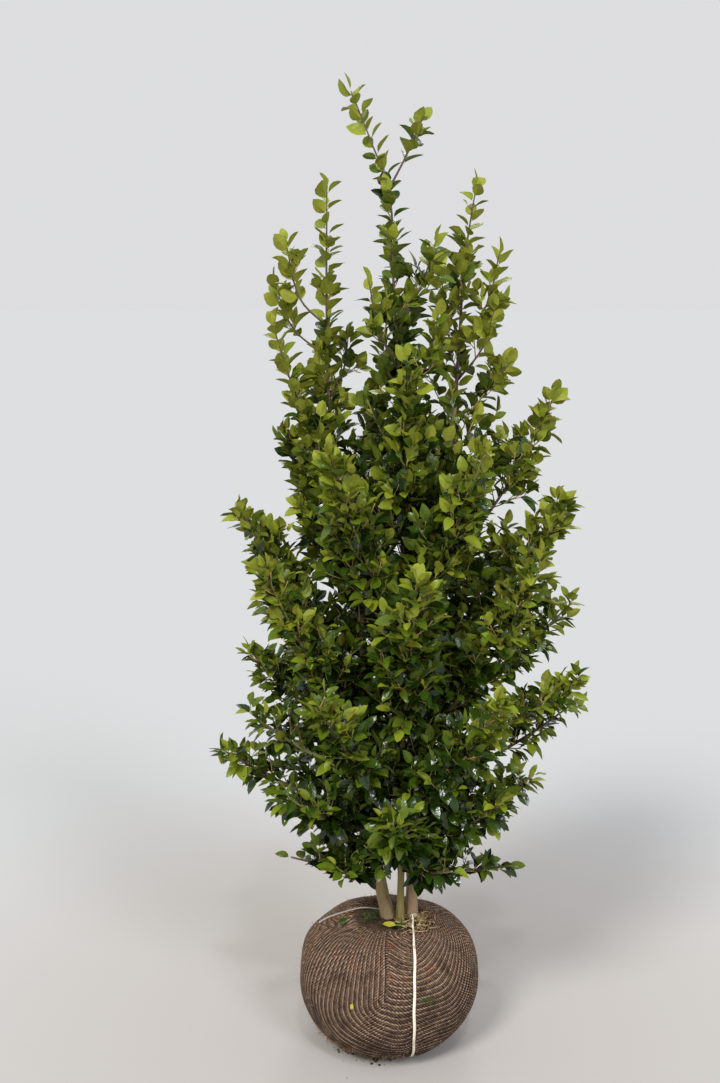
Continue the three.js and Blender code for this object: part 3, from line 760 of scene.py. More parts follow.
for stem_name, (points, sides, half_width) in HEADS.items():
    add_head(stem_name, points, sides, half_width)
for side, rows in SIDE_LIMBS.items():
    for i, row in enumerate(rows):
        add_limb(f"{side}_{i + 1}", row)
for side, straight, lift in (("front", 270, 0), ("back", 90 + BACK_TURN, BACK_LIFT)):
    number = 0
    for foot, reach, height, bare, half_width, offsets in TIERS:
        for offset in offsets:
            leaves = foot + lift + STAGGER * (number % 3)
            number += 1
            add_limb(f"{side}_{number}", [leaves, straight + offset, reach, height, bare, half_width])

# Every mass's lines as segments, to tell whose space a point lies in, and every stem's.
SEGMENT = 4  # in points
seg_start, seg_end, seg_first = [], [], []
for mass in masses:
    own = mass["line"][int(mass["from"] * (LIMB_POINTS - 1)) :]
    seg_first.append(sum(len(s) for s in seg_start))
    for line in (own, *mass["sides"]):
        seg_start.append(line[::SEGMENT][:-1])
        seg_end.append(line[::SEGMENT][1:])
SEG_START, SEG_END = np.concatenate(seg_start), np.concatenate(seg_end)
SEG_FIRST = np.array(seg_first)
HALF_WIDTHS = np.array([m["half_width"] for m in masses], float)
STEM_START = np.concatenate([s.line[:-SEGMENT:SEGMENT] for s in stems.values()])
STEM_END = np.concatenate([s.line[SEGMENT::SEGMENT] for s in stems.values()])
STEM_RADIUS = np.concatenate([
    s.radius(np.linspace(0, 1, STEM_POINTS))[:-SEGMENT:SEGMENT] for s in stems.values()
])
POINTS_AT_ONCE = 2000


def reach_of(points):
    """For each point, its distance to every mass's lines as a share of that mass's half width."""
    made = np.empty((len(points), len(masses)))
    for a in range(0, len(points), POINTS_AT_ONCE):
        some = slice(a, a + POINTS_AT_ONCE)
        d = distance_to(points[some], SEG_START, SEG_END)
        made[some] = np.minimum.reduceat(d, SEG_FIRST, axis=1) / HALF_WIDTHS
    return made


def in_crown(points):
    """Inside the crown's box, and above its skirt."""
    low, high = (np.array(corner) / MM for corner in CAD_BOX)
    aside = points[:, 0] - CROWN_X
    skirt = SKIRT_HEIGHT + np.maximum(-aside * SKIRT_RISE["left"], aside * SKIRT_RISE["right"])
    skirt += np.abs(points[:, 1]) * SKIRT_RISE["depth"]
    boxed = (points[:, :2] > low[:2] - BOX_SPARE) & (points[:, :2] < high[:2] + BOX_SPARE)
    return boxed.all(1) & (points[:, 2] > skirt) & (points[:, 2] < high[2] + BOX_SPARE)


def in_own_space(points, k, furthest):
    """Nearer to the mass's own lines than to any other mass's, and no further off than given."""
    reach = reach_of(points)
    own = reach[:, k].copy()
    reach[:, k] = np.inf
    return (own < furthest) & (reach.min(1) > own + SPACE_GAP) & in_crown(points)


def clear_of_stems(points, gap):
    """Further than the gap from every stem's bark."""
    return (distance_to(points, STEM_START, STEM_END) > STEM_RADIUS + gap).all(1)


# ---------------------------------------------------------------- growth


def leaving(along, turn, angle):
    """Directions that leave shoots at an angle, turned about them."""
    side, out = frames(along)
    radial = side * np.cos(turn)[:, None] + out * np.sin(turn)[:, None]
    return along * np.cos(angle)[:, None] + radial * np.sin(angle)[:, None]


def tip_of(foot, out, size, lift):
    """A shoot's tip: its size along its direction, and the lift's share of its size upwards."""
    return foot + out * size[:, None] + UP * (size * lift)[:, None]


def longest_that_fits(foot, out, size, lift, k, furthest, gap):
    """For each shoot, the largest of a few shares of its size whose tip stays in the mass's own
    space, no further out than given, and clear of the stems, or 0."""
    chosen = np.zeros(len(foot))
    for share in (1.0, 0.78, 0.58, 0.4):
        left = np.flatnonzero(chosen == 0)
        tip = tip_of(foot[left], out[left], size[left] * share, lift)
        fits = in_own_space(tip, k, furthest[left]) & clear_of_stems(tip, gap)
        chosen[left[fits]] = share
    return chosen


def dealt(number):
    """Where each owner has a number of items: every item's owner, and its index there."""
    owner = np.repeat(np.arange(len(number)), number)
    return owner, np.arange(len(owner)) - np.repeat(np.cumsum(number) - number, number)


def by_index(index, values):
    """The value for each index from a tip. The last value is for all further ones."""
    return np.array(values)[np.minimum(index, len(values) - 1)]


def stem_spurs():
    """Short shoots all the way up each stem, turned by the golden angle: their feet, directions
    and sizes, and the mass whose space their tips lie in."""
    rng = np.random.default_rng(9)
    made = []
    for stem in stems.values():
        height = np.arange(SPUR_LOWEST, stem.line[-1, 2] - SPUR_BELOW_TOP, SPUR_GAP)
        count = len(height)
        foot, along = along_line(stem.line, stem.share_at(height))
        turn = rng.random() * ROUND + np.arange(count) * GOLDEN
        out = leaving(along, turn, np.full(count, SHOOT_ANGLE))
        made.append((foot, out, rng.uniform(*SPUR_LENGTH, count)))
    foot, out, size = (np.concatenate(x) for x in zip(*made))
    return foot, out, size, reach_of(tip_of(foot, out, size, SHOOT_LIFT)).argmin(1)


SPURS = stem_spurs()


def side_shoots(half_width, line, a, b, rng):
    """Shoots along a twig from share a to b, turned by the golden angle. They shorten towards
    the twig's tip, and high up they are fewer and more slender. Feet, directions and sizes."""
    count = max(3, int(length_of(line) * (b - a) / SHOOT_GAP))
    run = (np.arange(count) + rng.uniform(*SHOOT_STRAY, count)) / count
    foot, along = along_line(line, a + (b - a) * run)
    turn = rng.random() * 2 * math.pi + np.arange(count) * GOLDEN
    out = leaving(along, turn, SHOOT_ANGLE + SHOOT_ANGLE_SPREAD * (rng.random(count) - 0.5))
    size = half_width * (SHOOT_SHORTENS[0] - SHOOT_SHORTENS[1] * run)
    size *= rng.uniform(*SHOOT_SPREAD, count)
    size *= np.interp(foot[:, 2], SLENDER_AT, SLENDERNESS)
    full = np.interp(foot[:, 2], FULL_AT, FULLNESS) * np.interp(run, [0.5, 1], [1, TIP_FULLNESS])
    size *= (1 + full) / 2 * (rng.random(count) < full)
    return foot, out, size


def grown_shoots(k, carriers, rng):
    """A mass's shoots and twiglets, as curves with a start, a bend, a tip, a level (1 or 2), and
    how far out each may reach. Twiglets leave the outer part of each shoot, turned by the golden
    angle, and shorten towards its tip."""
    made = [side_shoots(masses[k]["half_width"], *carrier, rng) for carrier in carriers]
    own = sum(len(foot) for foot, _, _ in made)
    spurs = [part[SPURS[3] == k] for part in SPURS[:3]]
    foot, out, size = (np.concatenate(x) for x in zip(*made, spurs))
    spread = np.where(np.arange(len(foot)) < own, FURTHEST_TWIG, SPUR_REACH)
    size = size * longest_that_fits(foot, out, size, SHOOT_LIFT, k, spread, SHOOT_CLEAR)
    keep = size > SHORTEST_SHOOT
    start, size, spread = foot[keep], size[keep], spread[keep]
    tip = tip_of(start, out[keep], size, SHOOT_LIFT)
    bend = bend_of(start, tip)

    number = np.round(size / TWIGLET_GAP * np.interp(tip[:, 2], FULL_AT, FULLNESS)).astype(int)
    owner, index = dealt(number)
    t = TWIGLET_RUN[0] + TWIGLET_RUN[1] * (index + 0.5) / number[owner]
    foot, along = bent(start[owner], bend[owner], tip[owner], t[:, None])
    turn = rng.random(len(start))[owner] * ROUND + index * GOLDEN
    out = leaving(along, turn, np.full(len(owner), TWIGLET_ANGLE))
    small = size[owner] * rng.uniform(*TWIGLET_SPREAD, len(owner))
    small = np.clip(small * (TWIGLET_SHORTENS[0] - TWIGLET_SHORTENS[1] * t), *TWIGLET_LENGTH)
    wider = spread[owner] + TWIGLET_PAST_SHOOT
    small = small * longest_that_fits(foot, out, small, TWIGLET_LIFT, k, wider, TWIGLET_CLEAR)
    keep = small > SHORTEST_TWIGLET
    foot = foot[keep]
    end = tip_of(foot, out[keep], small[keep], TWIGLET_LIFT)
    return {
        "start": np.concatenate([start, foot]),
        "bend": np.concatenate([bend, bend_of(foot, end)]),
        "tip": np.concatenate([tip, end]),
        "level": np.repeat([1, 2], [len(start), len(foot)]),
        "spread": np.concatenate([spread, spread[owner][keep]]),
    }


def leaf_feet(shoots, carriers, rng):
    """Where leaves stand: along the outer part of every shoot and twiglet, and along the mass's
    own twigs. Places, directions, turns, indexes from the tip, moods and furthest reaches."""
    size = np.linalg.norm(shoots["tip"] - shoots["start"], axis=1)
    bare = np.where(shoots["level"] == 1, *BARE_SHARES)
    number = np.maximum(2, np.round(size * (1 - bare) / LEAF_GAP).astype(int)) + 1
    owner, index = dealt(number)
    t = 1 - (1 - bare[owner]) * index / number[owner] * rng.uniform(*LEAF_STRAY, len(owner))
    curve = [shoots[key][owner] for key in ("start", "bend", "tip")]
    place, along = bent(*curve, t[:, None])
    turn = (rng.random(len(size)) * ROUND)[owner] + index * GOLDEN
    mood = rng.normal(0, SPRAY_MOOD, len(size))[owner]
    leaves = [(place, along, turn, index, mood, shoots["spread"][owner])]
    for line, a, b in carriers:
        count = int(length_of(line) * (b - a) / LEADER_LEAF_GAP) + 1
        index = np.arange(count)
        stray = LEADER_STRAY * rng.random(count) * (index > 0)
        place, along = along_line(line, b - (b - a) * (index + stray) / count)
        there = rng.random(count) < np.interp(place[:, 2], LEADER_AT, LEADER_FULLNESS)
        there |= index < LEADER_TIP_LEAVES
        place, along, index = place[there], along[there], index[there]
        turn = rng.random() * ROUND + index * GOLDEN
        mood = rng.normal(0, SPRAY_MOOD, len(index))
        leaves.append((place, along, turn, index, mood, np.full(len(index), FURTHEST_TWIG)))
    return [np.concatenate(x) for x in zip(*leaves)]


def grow(k):
    """One mass: side shoots along its twig, twiglets along those, and leaves along them all.
    The last leaf on a twig goes nearly straight on, and the older ones lean out. Returns the
    shoots and the leaves, each as a dictionary of arrays."""
    mass = masses[k]
    rng = np.random.default_rng(700 + k)
    starts = [(mass["line"], mass["first_leaf"])]
    starts += [(side, START["head_side"]) for side in mass["sides"]]
    bare = mass["bare_tip"] * LEAF_LENGTH
    carriers = [(line, a, 1 - bare / length_of(line)) for line, a in starts]
    shoots = grown_shoots(k, carriers, rng)
    place, along, turn, index, mood, spread = leaf_feet(shoots, carriers, rng)
    n = len(place)
    height = place[:, 2]

    angle = by_index(index, LEAF_ANGLES) + rng.uniform(*LEAF_ANGLE_SPREAD, n)
    direction = leaving(along, turn, angle)
    direction[:, 2] += np.interp(height, HANG_AT, HANG)
    direction = unit(direction)
    out = place - np.array([CROWN_X, 0, 0])
    out[:, 2] = 0
    outness = np.linalg.norm(out, axis=1) / np.interp(height, CROWN_AT, CROWN_RADIUS)
    outness = np.clip(outness, 0, OUTMOST)
    at_tip = np.interp(height, TIP_YOUNG_AT, TIP_YOUTH) * by_index(index, [3, 2, 1, 0])
    # Outness darkens the inner leaves as painted shade of the crown's inside, and makes outer ones
    # younger and lighter.
    youth_and_light = OUTER_YOUTH_AND_LIGHT * outness + np.interp(height, YOUNG_AT, YOUTH) + at_tip + mood
    youth_and_light += rng.normal(0, LEAF_MOOD, n)
    length = LEAF_LENGTH * rng.uniform(*LENGTH_SPREAD, n) * by_index(index, NEWEST_LENGTHS)
    length *= np.interp(height, LENGTH_AT, LENGTH_SHARE) * (INNER_LEAF + (1 - INNER_LEAF) * outness)
    upward = np.interp(height, GROWN_AT, FACE_UP)[:, None]
    face = along * FACE_ALONG + UP * upward + unit(out) * (FACE_TURN - upward) * FACE_OUT
    face += rng.normal(0, FACE_STRAY, (n, 3))
    leaf = {
        "root": place + direction,
        "along": direction,
        "across": unit(np.cross(face, direction)),
        "length": length,
        "youth_and_light": youth_and_light,
        "width": np.interp(height, GROWN_AT, LEAF_WIDTH) * rng.uniform(*WIDTH_SPREAD, n),
        "fold": rng.uniform(*FOLD, n),
        "droop": rng.normal(*DROOP, n),
        "wave": rng.random(n) * WAVE,
        "phase": rng.random(n) * ROUND,
    }

    middle = leaf["root"] + direction * (length * LEAF_MIDDLE)[:, None]
    end = leaf["root"] + direction * length[:, None]
    reach = reach_of(np.concatenate([middle, end]))[:, k].reshape(2, -1)
    keep = in_crown(end)
    for i, point in enumerate((middle, end)):
        keep &= (reach[i] < spread + LEAF_PAST_TWIG[i]) & clear_of_stems(point, LEAF_CLEAR[i])
    return shoots, {key: value[keep] for key, value in leaf.items()}


# One blade: stations along it with their half widths. The stalk comes first, then an oval
# blade, widest below its middle, with a short point.
STATIONS = np.array([0.0, 0.13, 0.22, 0.4, 0.62, 0.85, 1.0])
HALF_OF_WIDTH = np.array([0.0, 0.05, 0.6, 0.98, 0.96, 0.56, 0.0])
BLADE_THICKNESS = 0.7
STALK = 0.1
WAVES = 9  # along a blade's edge, in radians for its whole length


def blade_template():
    """A closed blade as (station, side, layer) rows and triangles: an edge row on each side that
    both layers share, an upper and a lower midrib, and one vertex at each end."""
    rows = [(0, 0, 0)]
    for s in range(1, len(STATIONS) - 1):
        rows += [(s, -1, 0), (s, 1, 0), (s, 0, 1), (s, 0, -1)]
    rows.append((len(STATIONS) - 1, 0, 0))
    rows = np.array(rows)
    last = len(rows) - 1
    upper, lower = [], []
    for s in range(len(STATIONS) - 1):
        a, b = 1 + 4 * (s - 1), 1 + 4 * s
        for sheet, rib, turned in ((upper, 2, False), (lower, 3, True)):
            if s == 0:
                made = [(0, b, b + rib), (0, b + rib, b + 1)]
            elif s == len(STATIONS) - 2:
                made = [(a, last, a + rib), (a + rib, last, a + 1)]
            else:
                made = [(a, b, b + rib), (a, b + rib, a + rib)]
                made += [(a + rib, b + rib, b + 1), (a + rib, b + 1, a + 1)]
            sheet += [t if turned else t[::-1] for t in made]
    return rows, np.array(upper), np.array(lower)


BLADE_ROWS, BLADE_UPPER, BLADE_LOWER = blade_template()
BLADE = np.concatenate([BLADE_UPPER, BLADE_LOWER])


def blades(leaf):
    """Leaf vertices: root + length x station along + half width x side across, lifted by the
    fold (by the distance from the midrib), a wave along the edge, and a droop that grows with the
    square of the run. Also triangles, and marks for the edge (1) and the midribs (2, 3)."""
    station, side, layer = BLADE_ROWS.T
    run = STATIONS[station]
    keys = ("length", "width", "fold", "droop", "wave", "phase")
    length, width, fold, droop, wave, phase = (leaf[key][:, None] for key in keys)
    half = length * width / 2 * HALF_OF_WIDTH[station] * side
    lift = np.abs(half) * fold - length * droop * np.maximum(run - STALK, 0) ** 2
    lift = lift + length * wave * np.abs(side) * np.sin(WAVES * run + phase + side)
    lift = lift + layer * BLADE_THICKNESS / 2
    normal = np.cross(leaf["along"], leaf["across"])
    vertices = (
        leaf["root"][:, None]
        + leaf["along"][:, None] * (length * run)[..., None]
        + leaf["across"][:, None] * half[..., None]
        + normal[:, None] * lift[..., None]
    )
    count, step = vertices.shape[:2]
    mark = np.where(layer == 0, 1, np.where(layer == 1, 2, 3))
    return vertices.reshape(-1, 3), copied(BLADE, count, step), np.tile(mark, count)


TONE_STEPS = [0.5, 0.74, 0.96, 1.16, 1.42]
YOUNG_UNDERSIDE = 0.95


def leaf_kinds(youth_and_light):
    """Each leaf's materials for its upper and its lower face, from how young it is and, as
    painted shade, how deep in the crown it stands.
    """
    top = np.searchsorted(TONE_STEPS, youth_and_light)
    under = len(LEAF_TOPS) + (youth_and_light > YOUNG_UNDERSIDE)
    upper = np.repeat(top[:, None], len(BLADE_UPPER), 1)
    lower = np.repeat(under[:, None], len(BLADE_LOWER), 1)
    return np.concatenate([upper, lower], axis=1).ravel()


def group_of(mass):
    """The height and the face of the crown that a mass belongs to, by its tip."""
    _, y, z = mass["line"][-1]
    height = "young" if z > HIGH_FOLIAGE else "mid" if z > LOW_FOLIAGE else "inner"
    return height, "front" if y < -SIDE_DEPTH else "back" if y > SIDE_DEPTH else "sides"


TWIG_FORMS = {1: (6, 5, 1.7), 2: (4, 4, 1.15)}  # by level: rings, sides and radius at the foot
TWIG_TAPER = 0.45


def twig_tubes(members, shoots):
    """Some masses' shoots, twiglets and own twigs as tubes, and each face's material: 0 for
    green and 1 for tan, dealt to the shoots by a seeded draw, and 2 for the woody twigs."""
    parts, kinds = [], []
    for level, (rings, sides, thick) in TWIG_FORMS.items():
        pick = shoots["level"] == level
        curve = [shoots[key][pick][:, None] for key in ("start", "bend", "tip")]
        t = np.linspace(0, 1, rings)[None, :, None]
        lines = bent(*curve, t)[0]
        radii = thick * (1 - TWIG_TAPER * t[..., 0]) * np.ones((len(lines), 1))
        parts.append(tubes(lines, radii, sides))
        tan = np.random.default_rng(level).random(len(lines)) < TAN_SHARE
        kinds.append(np.repeat(tan.astype(int), len(tube_faces(rings, sides))))
    for k in members:
        mass = masses[k]
        t = np.linspace(mass["from"], 1 - mass["bare_tip"] * LEAF_LENGTH / mass["length"], 26)
        radii = mass["base"] + (TWIG_TIP_RADIUS - mass["base"]) * t
        woody = [tubes(along_line(mass["line"], t)[0][None], radii[None], 7)]
        for side in mass["sides"]:
            line = side[None, ::3]
            radii = np.linspace(LIMB_THINNEST, TWIG_TIP_RADIUS, line.shape[1])
            woody.append(tubes(line, radii[None], 6))
        parts += woody
        kinds += [np.full(len(faces), 2) for _, faces in woody]
    return *joined(parts), np.concatenate(kinds)


grown = [grow(k) for k in range(len(masses))]
groups = {}
for k, mass in enumerate(masses):
    groups.setdefault(group_of(mass), []).append(k)

for (height, face), members in groups.items():
    shoots, leaf = (
        {key: np.concatenate([one[key] for one in some]) for key in some[0]}
        for some in zip(*(grown[k] for k in members))
    )
    slot = "leaves_" + height
    nodes = [masses[k]["name"] for k in members]
    vertices, faces, mark = blades(leaf)
    new_piece(f"{slot}_{face}", vertices, faces, LEAF_TOPS + LEAF_UNDERS, slot, nodes,
              kinds=leaf_kinds(leaf["youth_and_light"]), crease=mark)
    vertices, faces, kinds = twig_tubes(members, shoots)
    woody = LEADER_BARK if face == "sides" or height == "young" else BOUGH_BARK
    new_piece(f"twigs_{height}_{face}", vertices, faces, [GREEN_TWIG, TAN_TWIG, woody], slot, nodes,
              kinds=kinds)

# ---------------------------------------------------------------- stems and boughs with bark

RIDGES = 7
RIDGE_PITCH = (40, 260)
RIDGE_HEIGHT = (0.008, 0.022)  # of the radius
PITTING = 0.018
COLLAR_WIDTH = 14.0
COLLARS = {"stem": 0.1, "bough": 0.35}  # how much each swells, of the radius


def bark_limb(line, radius, sides, rings, collars, seed):
    """A limb's skin: radius(share) plus shallow ridges that wander round it, small pits, and a
    collar that swells by a bell curve where each bough leaves."""
    rng = np.random.default_rng(seed)
    share = np.linspace(0, 1, rings)
    centre, along = along_line(line, share)
    angle = circle(sides)
    length = length_of(line)
    run = share[:, None] * length
    r = radius(share)[:, None] * np.ones((1, sides))
    for _ in range(RIDGES):
        n, pitch, proud = rng.integers(2, 9), rng.uniform(*RIDGE_PITCH), rng.uniform(*RIDGE_HEIGHT)
        r = r * (1 + proud * np.sin(n * angle + run / pitch * ROUND + rng.random() * ROUND))
    r = r * (1 + PITTING * rng.standard_normal((rings, sides)))
    for place, proud in collars:
        r = r * (1 + proud * bell(run - place * length, COLLAR_WIDTH))
    body = centre[:, None] + ring_round(*frames(along), angle) * r[..., None]
    return np.concatenate([body.reshape(-1, 3), centre[:1], centre[-1:]]), tube_faces(rings, sides)


for i, (name, stem) in enumerate(stems.items()):
    collars = [(m["foot_share"], COLLARS["stem"]) for m in masses if m["foot_stem"] is stem]
    vertices, faces = bark_limb(stem.line, stem.radius, 28, 200, collars, 31 + i)
    new_piece(f"stem_{name}_bark", vertices, faces, [STEM_BARKS[name]], "bark", ["stem_" + name])

parts = []
for i, bough in enumerate(boughs):
    line = even(bough["line"][: int(bough["bare"] * (LIMB_POINTS - 1)) + 2], 40)

    def radius(share, bough=bough):
        return bough["base"] + (TWIG_TIP_RADIUS - bough["base"]) * share * bough["bare"]

    parts.append(bark_limb(line, radius, 14, 60, [(0.0, COLLARS["bough"])], 60 + i))
new_piece("boughs_bark", *joined(parts), [BOUGH_BARK], "young_bark", [b["name"] for b in boughs])

# ---------------------------------------------------------------- root ball

ROW = 12.0  # from one row of knitting to the next
STITCH = 6.5
NET_COLUMNS = 420
NET_ROWS = 150
FOOT_ROWS = 12
RIM_ROWS = 12
SEAM_X = -6.0  # a seam down the front, where the rows from the left meet those from the right
SEAM_DEPTH = 165.0
SEAM = SEAM_X / BALL_RADIUS
NET_RELIEF = 2.4
RIB_AT = 0.27  # the rib's place in its row
RIB_FALL = 1.6
NET_SINK = 0.8
WANDER = 7.0  # how far the rows stray from an even course
ROW_POWER = (1.35, 0.75)  # at the knot, and how much it grows down the ball
POWER_RUN = 220.0
CORNER_FADE = 90.0
PLEATS = 31
PLEAT_DEPTH = 2.5
PLEAT_FADE = 24.0
SEAM_GROOVE = 4.5
TIE_GROOVE = 3.0
GROOVE_WIDTH = 8.0
SOIL_RADIUS = 86.0
SOIL_TOP = 291.0
SOIL_HEAP = 4.0
SOIL_NOISE = 0.9


def ball_profile():
    """The net's outline from the middle of the foot to inside the rim, as radius and height: a
    flat foot, the superellipses |r/R|^n + |(z - belly)/height|^n = 1 under and over the belly,
    and a rim that turns in to the soil."""
    low = -math.asin(BELLY / UNDER_BELLY[0])
    high = math.asin((RIM_START - BELLY) / OVER_BELLY[0])
    angle = np.linspace(low, high, 200)
    height, n = np.where(angle[:, None] < 0, UNDER_BELLY, OVER_BELLY).T
    z = height * np.sin(angle)
    r = BALL_RADIUS * (1 - np.abs(z / height) ** n) ** (1 / n)
    rim = [[NET_RIM_RADIUS + 7, 291], [NET_RIM_RADIUS - 2, NET_RIM_TOP], [82, 293], [74, 286]]
    wall = np.vstack([np.stack([r, z + BELLY], 1), rim])
    wall = even(np.insert(wall, 1, 0, axis=1), NET_ROWS)[:, [0, 2]]
    foot = np.linspace(3, wall[0, 0], FOOT_ROWS, endpoint=False)
    return np.vstack([np.stack([foot, np.zeros(FOOT_ROWS)], 1), wall])


PROFILE = ball_profile()
PROFILE_RUN = run_along(PROFILE)
DOWN = PROFILE_RUN[PROFILE[:, 1].argmax()] - PROFILE_RUN  # how far down from the rim's crest
PROFILE_OUT = unit(np.gradient(PROFILE, axis=0)[:, ::-1] * [1, -1])


def lumps(x, y, z):
    """Low broad lumps, none near the tie: sums of sines round the ball, faded by height."""
    angle, radius = np.arctan2(y, x), np.hypot(x, y)
    belly = np.sin(np.pi * np.clip(z / NET_RIM_TOP, 0, 1)) ** 2
    away = 1 - bell(angle - TIE_ANGLE, LUMP_PAUSE)
    wave = np.sin(3 * angle + 0.02 * z) + 0.6 * np.sin(5 * angle + 1.3 - 0.03 * z)
    grown_by = 1 + BALL_LUMP * wave * belly * away / np.maximum(radius, 1)
    return x * grown_by, y * grown_by


def ball_surface(angle, down, lift):
    """Points on the ball at an angle round it from the front, + to the right, and at a way down
    from the rim's crest, lifted off it."""
    columns = (*PROFILE.T, *PROFILE_OUT.T)
    r, z, out_r, out_z = (np.interp(down, DOWN[::-1], column[::-1]) for column in columns)
    r, z = r + out_r * lift, z + out_z * lift
    x, y = lumps(r * np.sin(angle), -r * np.cos(angle), z)
    return np.stack([x, y, z * np.ones_like(x)], -1)


def straight_down(x, down):
    """The angle at which a plane at x meets the ball's front, at each way down from the crest."""
    return np.arcsin(np.minimum(x / np.interp(down, DOWN[::-1], PROFILE[::-1, 0]), 1))


def swellings(angle, down, seed, count, least, most):
    """A sum of seeded sines of the angle and the way down, each between least and most high."""
    rng = np.random.default_rng(seed)
    made = 0
    for _ in range(count):
        turns, pitch, phase = rng.integers(1, 9), rng.uniform(-0.035, 0.035), rng.random() * ROUND
        made = made + rng.uniform(least, most) * np.sin(turns * angle + pitch * down + phase)
    return made


def knitting(angle, down, radius):
    """Row and stitch counts over the net. Rows are level curves of a distance. To the right of
    the seam it is the distance from the knot, (aside^p + down^p)^(1/p), so rows hang in V shapes
    that widen to U shapes. To the left it is the distance from the seam, and below the seam's
    foot it carries the right side's rows on round the left in ever rounder corners."""
    angle = angle + swellings(angle, down, 3, 6, 0.2 * WANDER, 0.5 * WANDER) / BALL_RADIUS
    down = down + swellings(angle, down, 4, 6, 0.2 * WANDER, 0.5 * WANDER)

    def from_knot(at):
        aside = np.abs(at - straight_down(TIE_X, down)) * radius
        power = ROW_POWER[0] + ROW_POWER[1] * smoothstep(down / POWER_RUN)
        return (aside**power + np.maximum(down, 0) ** power) ** (1 / power)

    foot = np.hypot(TIE_X - SEAM_X, SEAM_DEPTH)
    beside = np.maximum(SEAM - angle, 0) * BALL_RADIUS
    below = np.maximum(from_knot(SEAM) - foot, 0)
    power = 2 + 2 * np.exp(-np.hypot(beside, below) / CORNER_FADE)
    left = (beside**power + below**power) ** (1 / power) + foot
    row = np.where(angle < SEAM, left, from_knot(angle)) / ROW
    return row, (down - np.abs(angle - SEAM) * radius) / STITCH


def root_ball():
    """The net as a grid, way down by angle round: the ball's profile, pushed along its outward
    direction by ribs on the rows, swellings, pleats at the rim, the seam and the tie's groove.
    None of these reach its foot or its last rows. Quads, and their corners' counts."""
    rows = len(PROFILE)
    radius, height = PROFILE[:, :1], PROFILE[:, 1:]
    angle = np.linspace(-np.pi, np.pi, NET_COLUMNS + 1)[None] * np.ones((rows, 1))
    down = DOWN[:, None] * np.ones_like(angle)
    row, stitch = knitting(angle, down, radius)
    relief = NET_RELIEF * (1 - np.abs(row % 1 - RIB_AT) * RIB_FALL)
    relief += swellings(angle, down, 5, 12, 0.3, 0.8)
    relief += PLEAT_DEPTH * np.sin(PLEATS * angle + 2 * np.sin(3 * angle)) * bell(down, PLEAT_FADE)
    in_seam = smoothstep((SEAM_DEPTH + 10 - down) / 40) * smoothstep(down / 20)
    relief -= SEAM_GROOVE * bell(angle * BALL_RADIUS - SEAM_X, GROOVE_WIDTH) * in_seam
    relief -= TIE_GROOVE * bell((angle - straight_down(TIE_X, down)) * radius, GROOVE_WIDTH)
    rows_left = (rows - 1 - np.arange(rows))[:, None]
    relief = (relief - NET_SINK) * smoothstep((height - 1) / 12) * smoothstep(rows_left / 6)
    r = radius + PROFILE_OUT[:, :1] * relief
    z = np.maximum(height + PROFILE_OUT[:, 1:] * relief, 0.0)
    x, y = lumps(r * np.sin(angle), -r * np.cos(angle), z)
    grid = np.stack([x, y, z], 2)[:, :-1]
    i, j = np.meshgrid(np.arange(rows - 1), np.arange(NET_COLUMNS), indexing="ij")
    corners = [(i, j), (i, j + 1), (i + 1, j + 1), (i + 1, j)]
    quads = np.stack([a * NET_COLUMNS + b % NET_COLUMNS for a, b in corners], 2).reshape(-1, 4)
    place = np.stack([a * (NET_COLUMNS + 1) + b for a, b in corners], 2).reshape(-1)
    return grid.reshape(-1, 3), quads, np.stack([row, stitch], 2).reshape(-1, 2)[place]


def soil_top():
    """The soil inside the rim: a low heap round the stems, roughened by sums of sines and by
    seeded noise, on rings of equal steps, with its edge turned down and closed by one point."""
    rng = np.random.default_rng(8)
    rings, sides = 34, 96
    r = np.linspace(0.5, SOIL_RADIUS, rings)[:, None]
    a = circle(sides)[None]
    x, y = r * np.cos(a), r * np.sin(a)
    z = SOIL_TOP - SOIL_HEAP * (r / SOIL_RADIUS) ** 2 + rng.normal(0, SOIL_NOISE, (rings, sides))
    for _ in range(12):
        kx, ky = rng.normal(0, 0.16, 2)
        z = z + rng.uniform(0.4, 1.3) * np.sin(kx * x + ky * y + rng.random() * ROUND)
    z[-1] = SOIL_TOP - 11
    ends = [[0, 0, SOIL_TOP + 1], [0, 0, SOIL_TOP - 15]]
    return np.concatenate([np.stack([x, y, z], 2).reshape(-1, 3), ends]), tube_faces(rings, sides)


net_vertices, net_faces, net_uv = root_ball()
new_piece("root_ball_net", net_vertices, net_faces, [JUTE], "net", ["root_ball"], uv=net_uv)
new_piece("root_ball_soil", *soil_top(), [SOIL], "net", ["root_ball"])


def strap(line, out, width, thickness):
    """A flat band along a line: each station is a rectangle of four corners, width across and
    thickness along out, closed at both ends. Quads and their places along the band."""
    along = unit(np.gradient(line, axis=0))
    across = unit(np.cross(along, out))
    out = unit(np.cross(across, along)) * (thickness / 2)
    across = across * (width / 2 * np.ones(len(line)))[:, None]
    body = np.stack([line + across * a + out * b for a, b in ((-1, -1), (1, -1), (1, 1), (-1, 1))], 1)
    count = len(line)
    k = np.arange(4)
    n = (k + 1) % 4
    i = (np.arange(count - 1) * 4)[:, None]
    quads = np.stack([i + k, i + 4 + k, i + 4 + n, i + n], 2).reshape(-1, 4)
    end = (count - 1) * 4
    quads = np.concatenate([quads, [[0, 1, 2, 3]], [[end + 3, end + 2, end + 1, end]]])
    place = np.stack([np.isin(quads % 4, (1, 2)) * 1.0, run_along(line)[quads // 4] / 10], 2)
    return body.reshape(-1, 3), quads, place.reshape(-1, 2)


